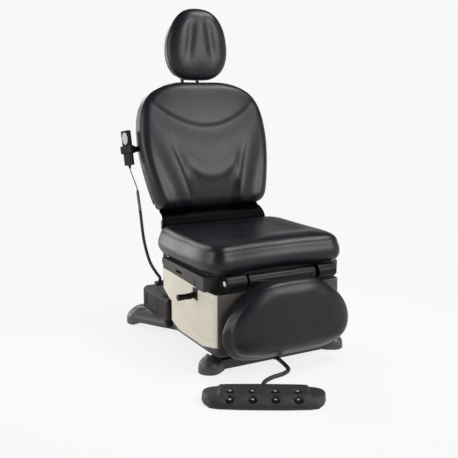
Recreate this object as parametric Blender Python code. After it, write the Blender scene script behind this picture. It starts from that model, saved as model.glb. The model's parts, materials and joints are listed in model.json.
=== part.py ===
"""Powered procedure chair: lift base, tilting seat, reclining back, headrest and leg section.

Metres, +Z up. The chair faces -Y and +X is the sitter's left. The origin is on the floor,
under the axis of the lift column.
"""
from math import cos, exp, pi, radians, sin, sqrt

import bmesh
import bpy
from mathutils import Matrix, Vector

for old in list(bpy.data.objects):
    bpy.data.objects.remove(old, do_unlink=True)

# Fits
GAP = 0.0003          # between pieces that are seated on each other
SLIDE_FIT = 0.0005    # between the telescoping stages
RUN = 0.004           # overrun of a cut past the face that it opens, and clear space round moving pieces
PIN_FIT = 0.0004      # round a pin in its hole

# Base
HUB_Y = 0.02
REAR_FOOT_X = 0.272
REAR_FOOT_Y = 0.497
FRONT_FOOT_X = 0.262
FRONT_FOOT_Y = -0.148
LEG_HALF = 0.026
LEG_BOTTOM = 0.006
LEG_TOP = 0.040
PAD_MARGIN = 0.004    # from a foot pad's rim to the sides and end of its leg
PAD_RADIUS = LEG_HALF - PAD_MARGIN
REAR_COVER_HALF = 0.060
FRONT_COVER_HALF = 0.040
REAR_COVER_LENGTH = 0.24
FRONT_COVER_LENGTH = 0.075
COVER_WALL = 0.006
COVER_BOTTOM = 0.003
REAR_COVER_NOSE = 0.052   # from a foot's centre to the tip of its cover
FRONT_COVER_NOSE = 0.043
REAR_COVER_EDGE = 0.026
FRONT_COVER_EDGE = 0.010
REAR_COVER_RISE = 0.030
FRONT_COVER_RISE = 0.018
ARCH_TOP = 0.020      # a rear cover stands this high off the floor behind its foot
ARCH_FROM = 0.020     # from a foot's centre to that step
LEG_NOSE = PAD_RADIUS + PAD_MARGIN
BEAM_FRONT = -0.165
BEAM_DEPTH = 0.030
GLAND_X = -0.018
GLAND_Z = 0.024
GLAND_END = -0.189
GLAND_RADIUS = 0.0105

# Lift column and its covers
COLUMN_HALF = 0.075
COLUMN_WALL = 0.005
STAGE_LIFT = 0.004    # how far each inner stage stands above the one outside it
FLANGE_HALF = 0.105
FLANGE_THICK = 0.008
DECK_INSET = 0.010
DECK_RIM = 0.008      # thickness of the deck's rim
DECK_CORE_INSET = 0.11
DECK_THICK = 0.026
SHROUD_HALF = 0.26
SHROUD_FRONT = -0.195
SHROUD_REAR = 0.20
SHROUD_TAIL = 0.262
SHROUD_TAIL_Z = 0.205
SHROUD_TOP = 0.286
SHROUD_WALL = 0.003
SHROUD_CORNER = 0.022
SHROUD_LIP = 0.004    # step between the lower edges of two covers
CARRIAGE_THICK = 0.010
CARRIAGE_DROP = 0.006
MOTOR_X = 0.16
MOTOR_Y = 0.09
MOTOR_EDGE = 0.004
MOTOR_RADIUS = 0.030
MOTOR_HEIGHT = 0.13

# Power box
BOX_HALF = 0.260
BOX_FRONT = 0.225
BOX_REAR = 0.49
BOX_TOP = 0.140
BOX_WALL = 0.004
LID_HEIGHT = 0.022
LID_INSET = 0.012
SWITCH_X = -0.13
INLET_X = -0.06

# Seat
TILT_Y = 0.235
TILT_Z = 0.304
TILT_RADIUS = 0.009
TILT_LUG_X = 0.16
TILT_LUG_DROP = 0.85  # share of a lug's half width that it reaches below its pin
LUG_THICK = 0.012
FRAME_BOTTOM = 0.331
FRAME_THICK = 0.011
FRAME_HALF = 0.22
FRAME_FRONT = -0.152
FRAME_REAR = 0.30
BOARD_THICK = 0.012
SEAT_HALF = 0.285
SEAT_FRONT = -0.205
SEAT_SCOOP = 0.028
SEAT_REAR = 0.304
SEAT_RIM = 0.056
SEAT_RISE = 0.032
SEAT_CROWN = 0.010
SIDE_COVER_OUT = 0.284
SIDE_COVER_BOTTOM = 0.290

# Back
BACK_Y = 0.363
BACK_Z = 0.440
BACK_LEAN = radians(15)
BACK_PIN_RADIUS = 0.008
EAR_INSET = 0.006     # from the seat frame's side to the ear that carries the back
EAR_CLEAR = 0.006     # between an ear and the back's lug beside it
BACK_LUG_X = FRAME_HALF - EAR_INSET - LUG_THICK * 1.5 - EAR_CLEAR
BACK_PLATE = 0.012
BACK_BOTTOM = 0.055
BACK_TOP = 0.576
BACK_RIM = 0.040
BACK_RISE = 0.028
BACK_CROWN = 0.006
SHELL_DEPTH = 0.056
SHELL_WALL = 0.003
SHELL_BOTTOM = 0.085
HINGE_COVER_RADIUS = 0.052
HINGE_COVER_HALF = 0.236

# Headrest
POST_X = 0.035
POST_Y = 0.030
POST_RADIUS = 0.007
POST_BOTTOM = 0.385
GUIDE_BOTTOM = 0.40
GUIDE_TOP = 0.522
HEAD_PIVOT = 0.684
HEAD_BOTTOM = 1.016
HEAD_HEIGHT = 0.286
HEAD_HALF = 0.136
HEAD_REAR = 0.512
HEAD_RIM = 0.034
HEAD_RISE = 0.028
HEAD_CROWN = 0.006
HEAD_SHELL = 0.016

# Leg section
LEG_AXIS_Y = -0.19
LEG_AXIS_Z = 0.325
LEG_TUBE_RADIUS = 0.022
CAP_RADIUS = 0.027
CAP_PROUD = 0.006     # of a hinge cap past the seat frame's side
CAP_LENGTH = 0.076
CAP_OUTER = FRAME_HALF + CAP_PROUD
CAP_INNER = CAP_OUTER - CAP_LENGTH
LEG_TUBE_END = 0.012  # from the tube's end to the cap that its stub runs in
LEG_TUBE_HALF = CAP_INNER - LEG_TUBE_END
LEG_ARM_X = 0.085
LEG_ARM_HALF = 0.022
LEG_ARM_THICK = 0.010
LEG_ARM_BOTTOM = 0.11
LEG_BOARD_REAR = -0.2185
LEG_BOARD_THICK = 0.012
LEG_PAD_TOP = 0.329
LEG_PAD_BOTTOM = 0.073
LEG_PAD_HALF = 0.243
LEG_PAD_RIM = 0.034
LEG_PAD_RISE = 0.022
LEG_PAD_CROWN = 0.006

# Handset, its holder and its cord
HANDSET_X = -0.324
HANDSET_Y = 0.005
HANDSET_BOTTOM = 0.250
HANDSET_LENGTH = 0.138
HANDSET_WIDTH = 0.040
HANDSET_THICK = 0.024
HANDSET_TURN = radians(40)
THIN_CORD = 0.0045
THICK_CORD = 0.0125
CONNECTOR_RADIUS = 0.0065

# Foot control
PEDAL_X = -0.228
PEDAL_Y = -0.456
PEDAL_TURN = radians(-29.5)
PEDAL_HALF = 0.199
PEDAL_DEPTH = 0.112
PEDAL_HEIGHT = 0.042
PEDAL_FLOOR = 0.010
BUTTON_PITCH = 0.0713
BUTTON_RADIUS = 0.0085
BUTTON_TRAVEL = 0.003
PEDAL_CORD = 0.015


def material(name, colour, roughness, metallic=0.0):
    made = bpy.data.materials.new(name)
    made.use_nodes = True
    shader = made.node_tree.nodes["Principled BSDF"]
    shader.inputs["Base Color"].default_value = (*colour, 1.0)
    shader.inputs["Roughness"].default_value = roughness
    shader.inputs["Metallic"].default_value = metallic
    return made


def mesh_object(name, bm, finish, parent=None):
    """Turn a bmesh into the named object; its points are in the parent's frame."""
    bmesh.ops.recalc_face_normals(bm, faces=bm.faces)
    if bm.calc_volume(signed=True) < 0:
        bmesh.ops.reverse_faces(bm, faces=bm.faces)
    data = bpy.data.meshes.new(name)
    bm.to_mesh(data)
    bm.free()
    made = bpy.data.objects.new(name, data)
    bpy.context.scene.collection.objects.link(made)
    made.parent = parent
    if finish:
        data.materials.append(material(name, *finish))
    data.shade_smooth()
    data.set_sharp_from_angle(angle=radians(35))
    return made


def pivot(name, place, turn_x=0.0):
    """Empty on a joint's axis, which carries the pieces that turn with it."""
    made = bpy.data.objects.new(name, None)
    made.location = place
    made.rotation_euler = (turn_x, 0, 0)
    bpy.context.scene.collection.objects.link(made)
    return made


def box(low, high):
    bm = bmesh.new()
    bmesh.ops.create_cube(bm, size=1)
    size = [b - a for a, b in zip(low, high)]
    middle = [(a + b) / 2 for a, b in zip(low, high)]
    bmesh.ops.scale(bm, vec=size, verts=bm.verts)
    bmesh.ops.translate(bm, vec=middle, verts=bm.verts)
    return bm


def prism(outline, low, high, axis="z"):
    """Extrude a flat outline; its two coordinates are the axes that remain, in x, y, z order."""
    order = {"x": (2, 0, 1), "y": (0, 2, 1), "z": (0, 1, 2)}[axis]
    bm = bmesh.new()
    points = [(a, b, low) for a, b in outline]
    bottom = bm.faces.new([bm.verts.new([p[i] for i in order]) for p in points])
    moved = bmesh.ops.extrude_face_region(bm, geom=[bottom])["geom"]
    step = [(0, 0, high - low)[i] for i in order]
    bmesh.ops.translate(bm, vec=step, verts=[v for v in moved if isinstance(v, bmesh.types.BMVert)])
    return bm


def rod(start, end, radius, sides=20, end_radius=None):
    start, end = Vector(start), Vector(end)
    along = end - start
    turn = along.to_track_quat("Z", "Y").to_matrix().to_4x4()
    place = Matrix.Translation((start + end) / 2) @ turn
    bm = bmesh.new()
    bmesh.ops.create_cone(bm, segments=sides, radius1=radius, cap_ends=True, depth=along.length,
                          radius2=radius if end_radius is None else end_radius, matrix=place)
    return bm


def rounded(half_x, front, rear, corner, steps=4):
    """Rectangle with round corners, symmetric in x, from front to rear."""
    centres = [(half_x - corner, rear - corner), (corner - half_x, rear - corner),
               (corner - half_x, front + corner), (half_x - corner, front + corner)]
    points = []
    for quarter, (x, y) in enumerate(centres):
        for step in range(steps + 1):
            angle = (quarter + step / steps) * pi / 2
            points.append((x + corner * cos(angle), y + corner * sin(angle)))
    return points


def build(name, finish, shape, add=(), cut=(), keep=(), parent=None, bevel=0.0, solver="EXACT"):
    """Object from a first shape, with shapes joined to it, cut from it or kept of it by Booleans."""
    made = mesh_object(name, shape, finish, parent)
    tools = [("UNION", bm) for bm in add] + [("INTERSECT", bm) for bm in keep]
    tools += [("DIFFERENCE", bm) for bm in cut]
    for number, (operation, bm) in enumerate(tools):
        tool = mesh_object(f"{name}_tool_{number}", bm, None, parent)
        tool.hide_render = True
        tool.display_type = "WIRE"
        step = made.modifiers.new(operation.lower(), "BOOLEAN")
        step.operation = operation
        step.solver = solver
        step.object = tool
    if bevel:
        edge = made.modifiers.new("edges", "BEVEL")
        edge.width = bevel
        edge.segments = 2
        edge.limit_method = "ANGLE"
        edge.angle_limit = radians(50)
    return made


def through(points, t):
    """Smooth value at t on a curve through (position, value) pairs."""
    last = len(points) - 1
    i = 0
    while i < last - 1 and t > points[i + 1][0]:
        i += 1
    (t0, a), (t1, b) = points[i], points[i + 1]
    before = points[max(i - 1, 0)]
    after = points[min(i + 2, last)]
    slope_a = (b - before[1]) / (t1 - before[0])
    slope_b = (after[1] - a) / (after[0] - t0)
    s = min(max((t - t0) / (t1 - t0), 0), 1)
    span = t1 - t0
    return ((1 + 2 * s) * (1 - s) ** 2 * a + s * (1 - s) ** 2 * span * slope_a
            + s * s * (3 - 2 * s) * b - s * s * (1 - s) * span * slope_b)


def swell(distance, radius):
    """Quarter-round rise from an edge, 0 at the edge and 1 a radius inside it."""
    inside = min(max(distance / radius, 0), 1)
    return sqrt(1 - (1 - inside) ** 2)


def groove(distance, width):
    return exp(-(distance / width) ** 2)


def cushion(columns, rows, front, side, place, flare=None):
    """Closed pad: a grid carried to the front face, sides in rings and a flat rear face.

    front(u, v) gives (a, b, depth) for u in -1..1 and v in 0..1. side lists (outset, share of
    the rim's depth) for each ring behind the front face. place turns (a, b, depth) into a point.
    flare(way), where it is given, scales the outsets in a direction from the middle.
    """
    bm = bmesh.new()
    bmesh.ops.create_grid(bm, x_segments=columns, y_segments=rows, size=1)
    for vert in bm.verts:
        u = (1 - (1 - abs(vert.co.x)) ** 1.5) * (1 if vert.co.x > 0 else -1)
        v = 0.5 + 0.5 * (1 - (1 - abs(vert.co.y)) ** 1.5) * (1 if vert.co.y > 0 else -1)
        vert.co = Vector(front(u, v))
    middle = Vector((0, sum(vert.co.y for vert in bm.verts) / len(bm.verts), 0))
    ring = [edge for edge in bm.edges if edge.is_boundary]
    level = 1.0
    spread = 0.0
    for outset, share in side:
        grown = bmesh.ops.extrude_edge_only(bm, edges=ring)["geom"]
        for vert in [v for v in grown if isinstance(v, bmesh.types.BMVert)]:
            way = (Vector((vert.co.x, vert.co.y, 0)) - middle).normalized()
            vert.co += way * (outset - spread) * (flare(way) if flare else 1)
            vert.co.z *= share / level
        ring = [e for e in grown if isinstance(e, bmesh.types.BMEdge) and e.is_boundary]
        level = share
        spread = outset
    bmesh.ops.edgeloop_fill(bm, edges=ring)
    for vert in bm.verts:
        vert.co = Vector(place(*vert.co))
    return bm


def slab(outline, low, high, edge):
    """Extruded outline whose upper edge is chamfered by the given width."""
    bm = prism(outline, low, high - edge)
    bmesh.ops.recalc_face_normals(bm, faces=bm.faces)
    top = [face for face in bm.faces if face.normal.z > 0.9]
    bmesh.ops.inset_region(bm, faces=top, thickness=edge, depth=edge, use_even_offset=True)
    return bm


# Finishes: base colour, roughness and metallic value
CAST_GREY = ((0.07, 0.067, 0.068), 0.5)
STEEL_BLACK = ((0.03, 0.03, 0.031), 0.45, 0.4)
STEEL_BRIGHT = ((0.55, 0.55, 0.56), 0.3, 1.0)
SHROUD_BEIGE = ((0.56, 0.52, 0.44), 0.45)
SWITCH_RED = ((0.25, 0.02, 0.02), 0.4)
TRIM_TAUPE = ((0.062, 0.054, 0.050), 0.5)
PLASTIC_BLACK = ((0.022, 0.02, 0.02), 0.42)
VINYL = ((0.035, 0.034, 0.038), 0.4)
RUBBER = ((0.02, 0.02, 0.02), 0.8)
KEYPAD_GREY = ((0.55, 0.56, 0.57), 0.5)
BOARD_WOOD = ((0.35, 0.24, 0.14), 0.7)

# Base frame: four legs from a hub, and a front beam between the front feet
FEET = {"front_right": (FRONT_FOOT_X, FRONT_FOOT_Y), "rear_right": (REAR_FOOT_X, REAR_FOOT_Y),
        "rear_left": (-REAR_FOOT_X, REAR_FOOT_Y), "front_left": (-FRONT_FOOT_X, FRONT_FOOT_Y)}
HUB = Vector((0, HUB_Y))


def leg_axes(foot):
    along = Vector(foot) - HUB
    length = along.length
    along.normalize()
    return along, Vector((-along.y, along.x)), length


def cross(a, b):
    return a.x * b.y - a.y * b.x


def star(half, nose):
    """Outline of the four legs, each a straight bar past its foot's centre."""
    arms = [leg_axes(foot) for foot in FEET.values()]
    outline = []
    for number, (along, across, length) in enumerate(arms):
        end = HUB + along * (length + nose)
        following, other, _ = arms[(number + 1) % len(arms)]
        reach = cross(-(across + other) * half, following) / cross(along, following)
        outline += [end - across * half, end + across * half, HUB + across * half + along * reach]
    return [tuple(point) for point in outline]


def beam(grow=0.0):
    half = FRONT_FOOT_X
    return box((-half - grow, BEAM_FRONT - grow, LEG_BOTTOM - grow),
               (half + grow, BEAM_FRONT + BEAM_DEPTH + grow, LEG_TOP + grow))


foot_pads = [rod((x, y, 0), (x, y, LEG_BOTTOM + LEG_HALF / 2), PAD_RADIUS) for x, y in FEET.values()]
gland = rod((GLAND_X, BEAM_FRONT + BEAM_DEPTH / 2, GLAND_Z), (GLAND_X, GLAND_END, GLAND_Z),
            GLAND_RADIUS, 16)
build("base_frame", STEEL_BLACK, prism(star(LEG_HALF, LEG_NOSE), LEG_BOTTOM, LEG_TOP),
      add=[beam(), gland] + foot_pads)

DECK_BOTTOM = LEG_TOP + GAP
DECK_TOP = DECK_BOTTOM + DECK_THICK
DECK_HALF = SHROUD_HALF - DECK_INSET
DECK_FRONT = SHROUD_FRONT + DECK_INSET
DECK_REAR = SHROUD_REAR - DECK_INSET


def deck(grow=0.0):
    """Thin rim under the lift covers."""
    return prism(rounded(DECK_HALF + grow, DECK_FRONT - grow, DECK_REAR + grow, SHROUD_CORNER),
                 DECK_TOP - DECK_RIM - grow, DECK_TOP + grow)


def deck_core(grow=0.0):
    """Thick middle of the deck, on the legs."""
    inset = DECK_CORE_INSET - grow
    return prism(rounded(DECK_HALF - inset, DECK_FRONT + inset, DECK_REAR - inset, SHROUD_CORNER),
                 DECK_BOTTOM - grow, DECK_TOP - DECK_RIM / 2)


FLANGE_HOLE = FLANGE_HALF + GAP
build("base_deck", CAST_GREY, deck(), add=[deck_core()], cut=[
    box((-FLANGE_HOLE, -FLANGE_HOLE, DECK_BOTTOM - RUN), (FLANGE_HOLE, FLANGE_HOLE, DECK_TOP + RUN))])

# Foot covers: round-nosed caps that drop over the legs' ends
COVER_TOP = LEG_TOP + GAP + COVER_WALL


def foot_cover(name, foot, nose, half, length, top, edge, arch):
    along, across, reach = leg_axes(foot)

    def placed(outline):
        return [tuple(HUB + along * s + across * n) for s, n in outline]

    tip = reach + nose
    outline = [(tip - length, half), (tip - length, -half)]
    for step in range(9):
        angle = (step / 8 - 0.5) * pi
        outline.append((tip - half + half * cos(angle), half * sin(angle)))
    shape = slab(placed(outline), COVER_BOTTOM, top, edge)
    bars = prism(star(LEG_HALF + GAP, LEG_NOSE + GAP), -COVER_BOTTOM, LEG_TOP + GAP)
    cuts = [bars, beam(GAP), deck(GAP), deck_core(GAP)]
    if arch:
        inner = tip - length - RUN
        outer = reach - ARCH_FROM
        side = half + RUN
        cuts.append(prism(placed([(inner, side), (inner, -side), (outer, -side), (outer, side)]),
                          -COVER_BOTTOM, ARCH_TOP))
    return build(name, CAST_GREY, shape, cut=cuts)


for side, foot in FEET.items():
    if side.startswith("rear"):
        foot_cover("foot_cover_" + side, foot, REAR_COVER_NOSE, REAR_COVER_HALF, REAR_COVER_LENGTH,
                   COVER_TOP + REAR_COVER_RISE, REAR_COVER_EDGE, True)
    else:
        foot_cover("foot_cover_" + side, foot, FRONT_COVER_NOSE, FRONT_COVER_HALF, FRONT_COVER_LENGTH,
                   COVER_TOP + FRONT_COVER_RISE, FRONT_COVER_EDGE, False)

# Lift column in three square stages, each with its own cover
PLATE_BOTTOM = SHROUD_TOP - CARRIAGE_DROP - CARRIAGE_THICK
PLATE_TOP = PLATE_BOTTOM + CARRIAGE_THICK
FLANGE_BOTTOM = LEG_TOP + GAP
FLANGE_TOP = FLANGE_BOTTOM + FLANGE_THICK


def square_tube(half, wall, low, high):
    return (box((-half, -half, low), (half, half, high)),
            box((wall - half, wall - half, low - RUN), (half - wall, half - wall, high + RUN)))


STAGE_STEP = COLUMN_WALL + SLIDE_FIT
STAGE_TOP = PLATE_BOTTOM - 3 * STAGE_LIFT
outer, hollow = square_tube(COLUMN_HALF, COLUMN_WALL, FLANGE_BOTTOM, STAGE_TOP)
build("column_outer", STEEL_BRIGHT, outer, cut=[hollow], add=[
    box((-FLANGE_HALF, -FLANGE_HALF, FLANGE_BOTTOM), (FLANGE_HALF, FLANGE_HALF, FLANGE_TOP))])
outer, hollow = square_tube(COLUMN_HALF - STAGE_STEP, COLUMN_WALL, FLANGE_BOTTOM + STAGE_LIFT,
                            STAGE_TOP + STAGE_LIFT)
build("column_middle", STEEL_BRIGHT, outer, cut=[hollow])
outer, hollow = square_tube(COLUMN_HALF - 2 * STAGE_STEP, COLUMN_WALL,
                            FLANGE_BOTTOM + 2 * STAGE_LIFT, PLATE_BOTTOM - GAP)
build("column_inner", STEEL_BRIGHT, outer, cut=[hollow])
build("lift_motor", STEEL_BLACK,
      rod((MOTOR_X, MOTOR_Y, DECK_TOP + GAP), (MOTOR_X, MOTOR_Y, DECK_TOP + MOTOR_HEIGHT),
          MOTOR_RADIUS, 24), bevel=MOTOR_EDGE)


def cover_tube(inset, wall, low, high):
    def ring(grow):
        return rounded(SHROUD_HALF - inset - grow, SHROUD_FRONT + inset + grow,
                       SHROUD_REAR - inset - grow, SHROUD_CORNER)
    return prism(ring(0), low, high), prism(ring(wall), low - RUN, high + RUN)


COVER_STEP = SHROUD_WALL + SLIDE_FIT
COVER_LOW = DECK_TOP + GAP
outer, hollow = cover_tube(2 * COVER_STEP, SHROUD_WALL, COVER_LOW, STAGE_TOP)
build("lower_shroud", TRIM_TAUPE, outer, cut=[hollow])
outer, hollow = cover_tube(COVER_STEP, SHROUD_WALL, COVER_LOW + SHROUD_LIP, STAGE_TOP + STAGE_LIFT)
build("middle_shroud", TRIM_TAUPE, outer, cut=[hollow])

# Upper cover, with a tail at the rear that closes in the tilt hinge
UPPER_LOW = COVER_LOW + 2 * SHROUD_LIP
TAIL_DROP = 0.030     # height of the slope under the tail
TAIL_STEP = 0.001     # the tail stands this far inside the cover's sides


def tail(wall, top):
    """Side profile of the tail, or of its hollow where a wall is given."""
    low = SHROUD_TAIL_Z - TAIL_DROP + 2 * wall
    start = SHROUD_REAR - SHROUD_CORNER - SHROUD_WALL
    half = SHROUD_HALF - TAIL_STEP - wall
    return prism([(start, low), (SHROUD_REAR - 2 * wall, low),
                  (SHROUD_TAIL - wall, SHROUD_TAIL_Z + wall), (SHROUD_TAIL - wall, top),
                  (start, top)], -half, half, "x")


NOTCH_RISE = 0.026    # how far the lower edge climbs at the cover's front and rear
FRONT_NOTCH = 0.11    # length of that climb at the front
REAR_NOTCH = 0.085


def notch(level, end):
    """Wedge under the lower edge, from where it leaves the level to past the cover's end."""
    past = end + (end - level) * RUN / abs(end - level)
    return prism([(level, UPPER_LOW), (level, UPPER_LOW - RUN), (past, UPPER_LOW - RUN),
                  (past, UPPER_LOW + NOTCH_RISE)], -SHROUD_HALF - RUN, SHROUD_HALF + RUN, "x")


outer, hollow = cover_tube(0, SHROUD_WALL, UPPER_LOW, SHROUD_TOP)
build("upper_shroud", SHROUD_BEIGE, outer, add=[tail(0, SHROUD_TOP)],
      cut=[hollow, tail(SHROUD_WALL, SHROUD_TOP + RUN), notch(SHROUD_FRONT + FRONT_NOTCH, SHROUD_FRONT),
           notch(SHROUD_REAR - REAR_NOTCH, SHROUD_REAR)])

# Carriage plate on the inner stage, with two lugs for the tilt pin
INSIDE = SHROUD_WALL + GAP
LUG_HALF = 0.014      # half length of a tilt lug, and its reach past the pin
plate = prism(rounded(SHROUD_HALF - TAIL_STEP - INSIDE, SHROUD_FRONT + INSIDE, SHROUD_TAIL - INSIDE,
                      SHROUD_CORNER), PLATE_BOTTOM, PLATE_TOP)
lugs = [box((x - LUG_THICK / 2, TILT_Y - LUG_HALF, PLATE_BOTTOM + GAP),
            (x + LUG_THICK / 2, TILT_Y + LUG_HALF, TILT_Z + LUG_HALF))
        for x in (-TILT_LUG_X, TILT_LUG_X)]
LUG_CLEAR = 0.001     # between a tilt lug and the seat's lug beside it
PIN_END = TILT_LUG_X + LUG_THICK * 1.5 + 2 * LUG_CLEAR
pin_hole = rod((-PIN_END, TILT_Y, TILT_Z), (PIN_END, TILT_Y, TILT_Z), TILT_RADIUS + PIN_FIT)
build("carriage_plate", STEEL_BLACK, plate, add=lugs, cut=[pin_hole])
build("tilt_pin", STEEL_BRIGHT,
      rod((-PIN_END, TILT_Y, TILT_Z), (PIN_END, TILT_Y, TILT_Z), TILT_RADIUS))

# Release lever on the left side of the upper cover, on a plate with two cheeks
LEVER_Y = -0.033
LEVER_Z = 0.250
LEVER_LENGTH = 0.062
LEVER_RADIUS = 0.012
LEVER_PLATE = 0.004
LEVER_PLATE_HALF = 0.018
LEVER_PLATE_DROP = 0.016
LEVER_PLATE_RISE = 0.026
LEVER_BLOCK = 0.012
LEVER_SLOT = 0.005    # half width of the lever's tongue between the cheeks
LEVER_TONGUE = 0.004  # half thickness of the tongue
LEVER_CLEAR = 0.003   # from the cheeks to the grip, and from the tongue to the plate
plate_x = -SHROUD_HALF - GAP
block_x = plate_x - LEVER_PLATE - LEVER_BLOCK
LEVER_PIVOT = (block_x + LEVER_BLOCK / 2, LEVER_Y, LEVER_Z)
cheek_gap = LEVER_SLOT + GAP
cheeks = [box((block_x, LEVER_Y + low, LEVER_Z - LEVER_BLOCK / 2),
              (plate_x - LEVER_PLATE / 2, LEVER_Y + high, LEVER_Z + LEVER_BLOCK))
          for low, high in ((-cheek_gap - LEVER_PLATE, -cheek_gap), (cheek_gap, cheek_gap + LEVER_PLATE))]
build("lever_plate", PLASTIC_BLACK,
      box((plate_x - LEVER_PLATE, LEVER_Y - LEVER_PLATE_HALF, LEVER_Z - LEVER_PLATE_DROP),
          (plate_x, LEVER_Y + LEVER_PLATE_HALF, LEVER_Z + LEVER_PLATE_RISE)), add=cheeks)
lever_pivot = pivot("lever_axis", LEVER_PIVOT)
grip_start = -LEVER_BLOCK / 2 - LEVER_CLEAR
tongue = box((grip_start - LEVER_RADIUS, -LEVER_SLOT, -LEVER_TONGUE),
             (LEVER_BLOCK / 2 - LEVER_CLEAR, LEVER_SLOT, LEVER_TONGUE))
build("release_lever", PLASTIC_BLACK, rod((grip_start, 0, 0), (-LEVER_LENGTH, 0, 0), LEVER_RADIUS, 16),
      add=[tongue], parent=lever_pivot)

# Power box behind the column: an open tray, its lid, the mains inlet and a rocker switch
BOX_BOTTOM = COVER_TOP + REAR_COVER_RISE + GAP
BOX_CORNER = 0.016
SOCKET_HALF = 0.018
SOCKET_HEIGHT = 0.022
SOCKET_DEPTH = 0.012
INLET_FRAME = 0.006
PANEL_Z = (BOX_BOTTOM + BOX_TOP) / 2
WINDOW_HALF = 0.009
ROCKER_HEIGHT = 0.024
ROCKER_DEPTH = 0.010
ROCKER_PLAY = 0.0016  # above and below the rocker in its window
window_half_height = ROCKER_HEIGHT / 2 + ROCKER_PLAY
window = box((SWITCH_X - WINDOW_HALF, BOX_REAR - 2 * ROCKER_DEPTH, PANEL_Z - window_half_height),
             (SWITCH_X + WINDOW_HALF, BOX_REAR + RUN, PANEL_Z + window_half_height))
tray_inside = prism(rounded(BOX_HALF - BOX_WALL, BOX_FRONT + BOX_WALL, BOX_REAR - BOX_WALL, BOX_CORNER),
                    BOX_BOTTOM + BOX_WALL, BOX_TOP + RUN)
build("power_box", PLASTIC_BLACK,
      prism(rounded(BOX_HALF, BOX_FRONT, BOX_REAR, BOX_CORNER), BOX_BOTTOM, BOX_TOP),
      cut=[tray_inside, window])
build("power_box_lid", PLASTIC_BLACK,
      slab(rounded(BOX_HALF, BOX_FRONT, BOX_REAR, BOX_CORNER), BOX_TOP + GAP,
           BOX_TOP + GAP + LID_HEIGHT, LID_INSET))
inlet_low = PANEL_Z - SOCKET_HEIGHT / 2
build("power_inlet", PLASTIC_BLACK,
      box((INLET_X - SOCKET_HALF - INLET_FRAME, BOX_REAR + GAP, inlet_low - INLET_FRAME),
          (INLET_X + SOCKET_HALF + INLET_FRAME, BOX_REAR + GAP + SOCKET_DEPTH + INLET_FRAME,
           inlet_low + SOCKET_HEIGHT + INLET_FRAME)),
      cut=[box((INLET_X - SOCKET_HALF, BOX_REAR + GAP + INLET_FRAME, inlet_low),
               (INLET_X + SOCKET_HALF, BOX_REAR + SOCKET_DEPTH + 2 * INLET_FRAME,
                inlet_low + SOCKET_HEIGHT))])
rocker_pivot = pivot("rocker_axis", (SWITCH_X, BOX_REAR - BOX_WALL / 2, PANEL_Z))
half = WINDOW_HALF - GAP
deep, high = ROCKER_DEPTH / 2, ROCKER_HEIGHT / 2
rocker = [(-deep, -high), (deep, -high), (ROCKER_DEPTH / 3, 0), (deep, high), (-deep, high)]
build("power_switch", SWITCH_RED, prism(rocker, -half, half, "x"), parent=rocker_pivot)

# Seat: steel frame with ears for the back, board, cushion and side covers
FRAME_TOP = FRAME_BOTTOM + FRAME_THICK
BOARD_BOTTOM = FRAME_TOP + GAP
BOARD_TOP = BOARD_BOTTOM + BOARD_THICK
SEAT_BOTTOM = BOARD_TOP + GAP
EAR_INNER = BACK_LUG_X + LUG_THICK / 2 + EAR_CLEAR
EAR_REACH = 0.020     # how far an ear goes past its pin
EAR_TOP = 0.014
EAR_ROOT = 0.08       # length of an ear on the frame
EAR_SINK = 0.002      # how far an ear's root lies inside the frame's faces
ear_low = FRAME_BOTTOM + EAR_SINK
ear_high = FRAME_TOP - EAR_SINK
ear_outline = [(FRAME_REAR - EAR_ROOT, ear_low), (FRAME_REAR + EAR_SINK, ear_low),
               (BACK_Y + EAR_REACH, BACK_Z - EAR_REACH), (BACK_Y + EAR_REACH, BACK_Z + EAR_TOP),
               (BACK_Y - EAR_REACH, BACK_Z + EAR_TOP), (BACK_Y - EAR_REACH, BACK_Z - EAR_REACH / 2),
               (SEAT_REAR + EAR_CLEAR, ear_high), (FRAME_REAR - EAR_ROOT, ear_high)]
ears = []
tilt_lugs = []
for sign in (-1, 1):
    inner, outer_x = sorted((sign * EAR_INNER, sign * (EAR_INNER + LUG_THICK)))
    ears.append(prism(ear_outline, inner, outer_x, "x"))
    lug_inner = TILT_LUG_X + LUG_THICK / 2 + LUG_CLEAR
    inner, outer_x = sorted((sign * lug_inner, sign * (lug_inner + LUG_THICK)))
    tilt_lugs.append(box((inner, TILT_Y - LUG_HALF, TILT_Z - LUG_HALF * TILT_LUG_DROP),
                         (outer_x, TILT_Y + LUG_HALF, FRAME_BOTTOM + FRAME_THICK / 2)))
SHAFT_PROUD = 0.003
SHAFT_END = EAR_INNER + LUG_THICK + SHAFT_PROUD
pin_hole = rod((-PIN_END - RUN, TILT_Y, TILT_Z), (PIN_END + RUN, TILT_Y, TILT_Z), TILT_RADIUS + PIN_FIT)
shaft_hole = rod((-SHAFT_END - RUN, BACK_Y, BACK_Z), (SHAFT_END + RUN, BACK_Y, BACK_Z),
                 BACK_PIN_RADIUS + PIN_FIT)
build("seat_frame", STEEL_BLACK,
      box((-FRAME_HALF, FRAME_FRONT, FRAME_BOTTOM), (FRAME_HALF, FRAME_REAR, FRAME_TOP)),
      add=ears + tilt_lugs, cut=[pin_hole, shaft_hole], solver="MANIFOLD")
build("recline_shaft", STEEL_BRIGHT,
      rod((-SHAFT_END, BACK_Y, BACK_Z), (SHAFT_END, BACK_Y, BACK_Z), BACK_PIN_RADIUS))
SEAT_OVERHANG = 0.030  # of the cushion past its board
REAR_OVERHANG = 0.012
BOARD_REAR = SEAT_REAR - REAR_OVERHANG
BOARD_CORNER = 0.05
build("seat_board", BOARD_WOOD,
      prism(rounded(SEAT_HALF - SEAT_OVERHANG, FRAME_FRONT, BOARD_REAR, BOARD_CORNER),
            BOARD_BOTTOM, BOARD_TOP))

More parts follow.
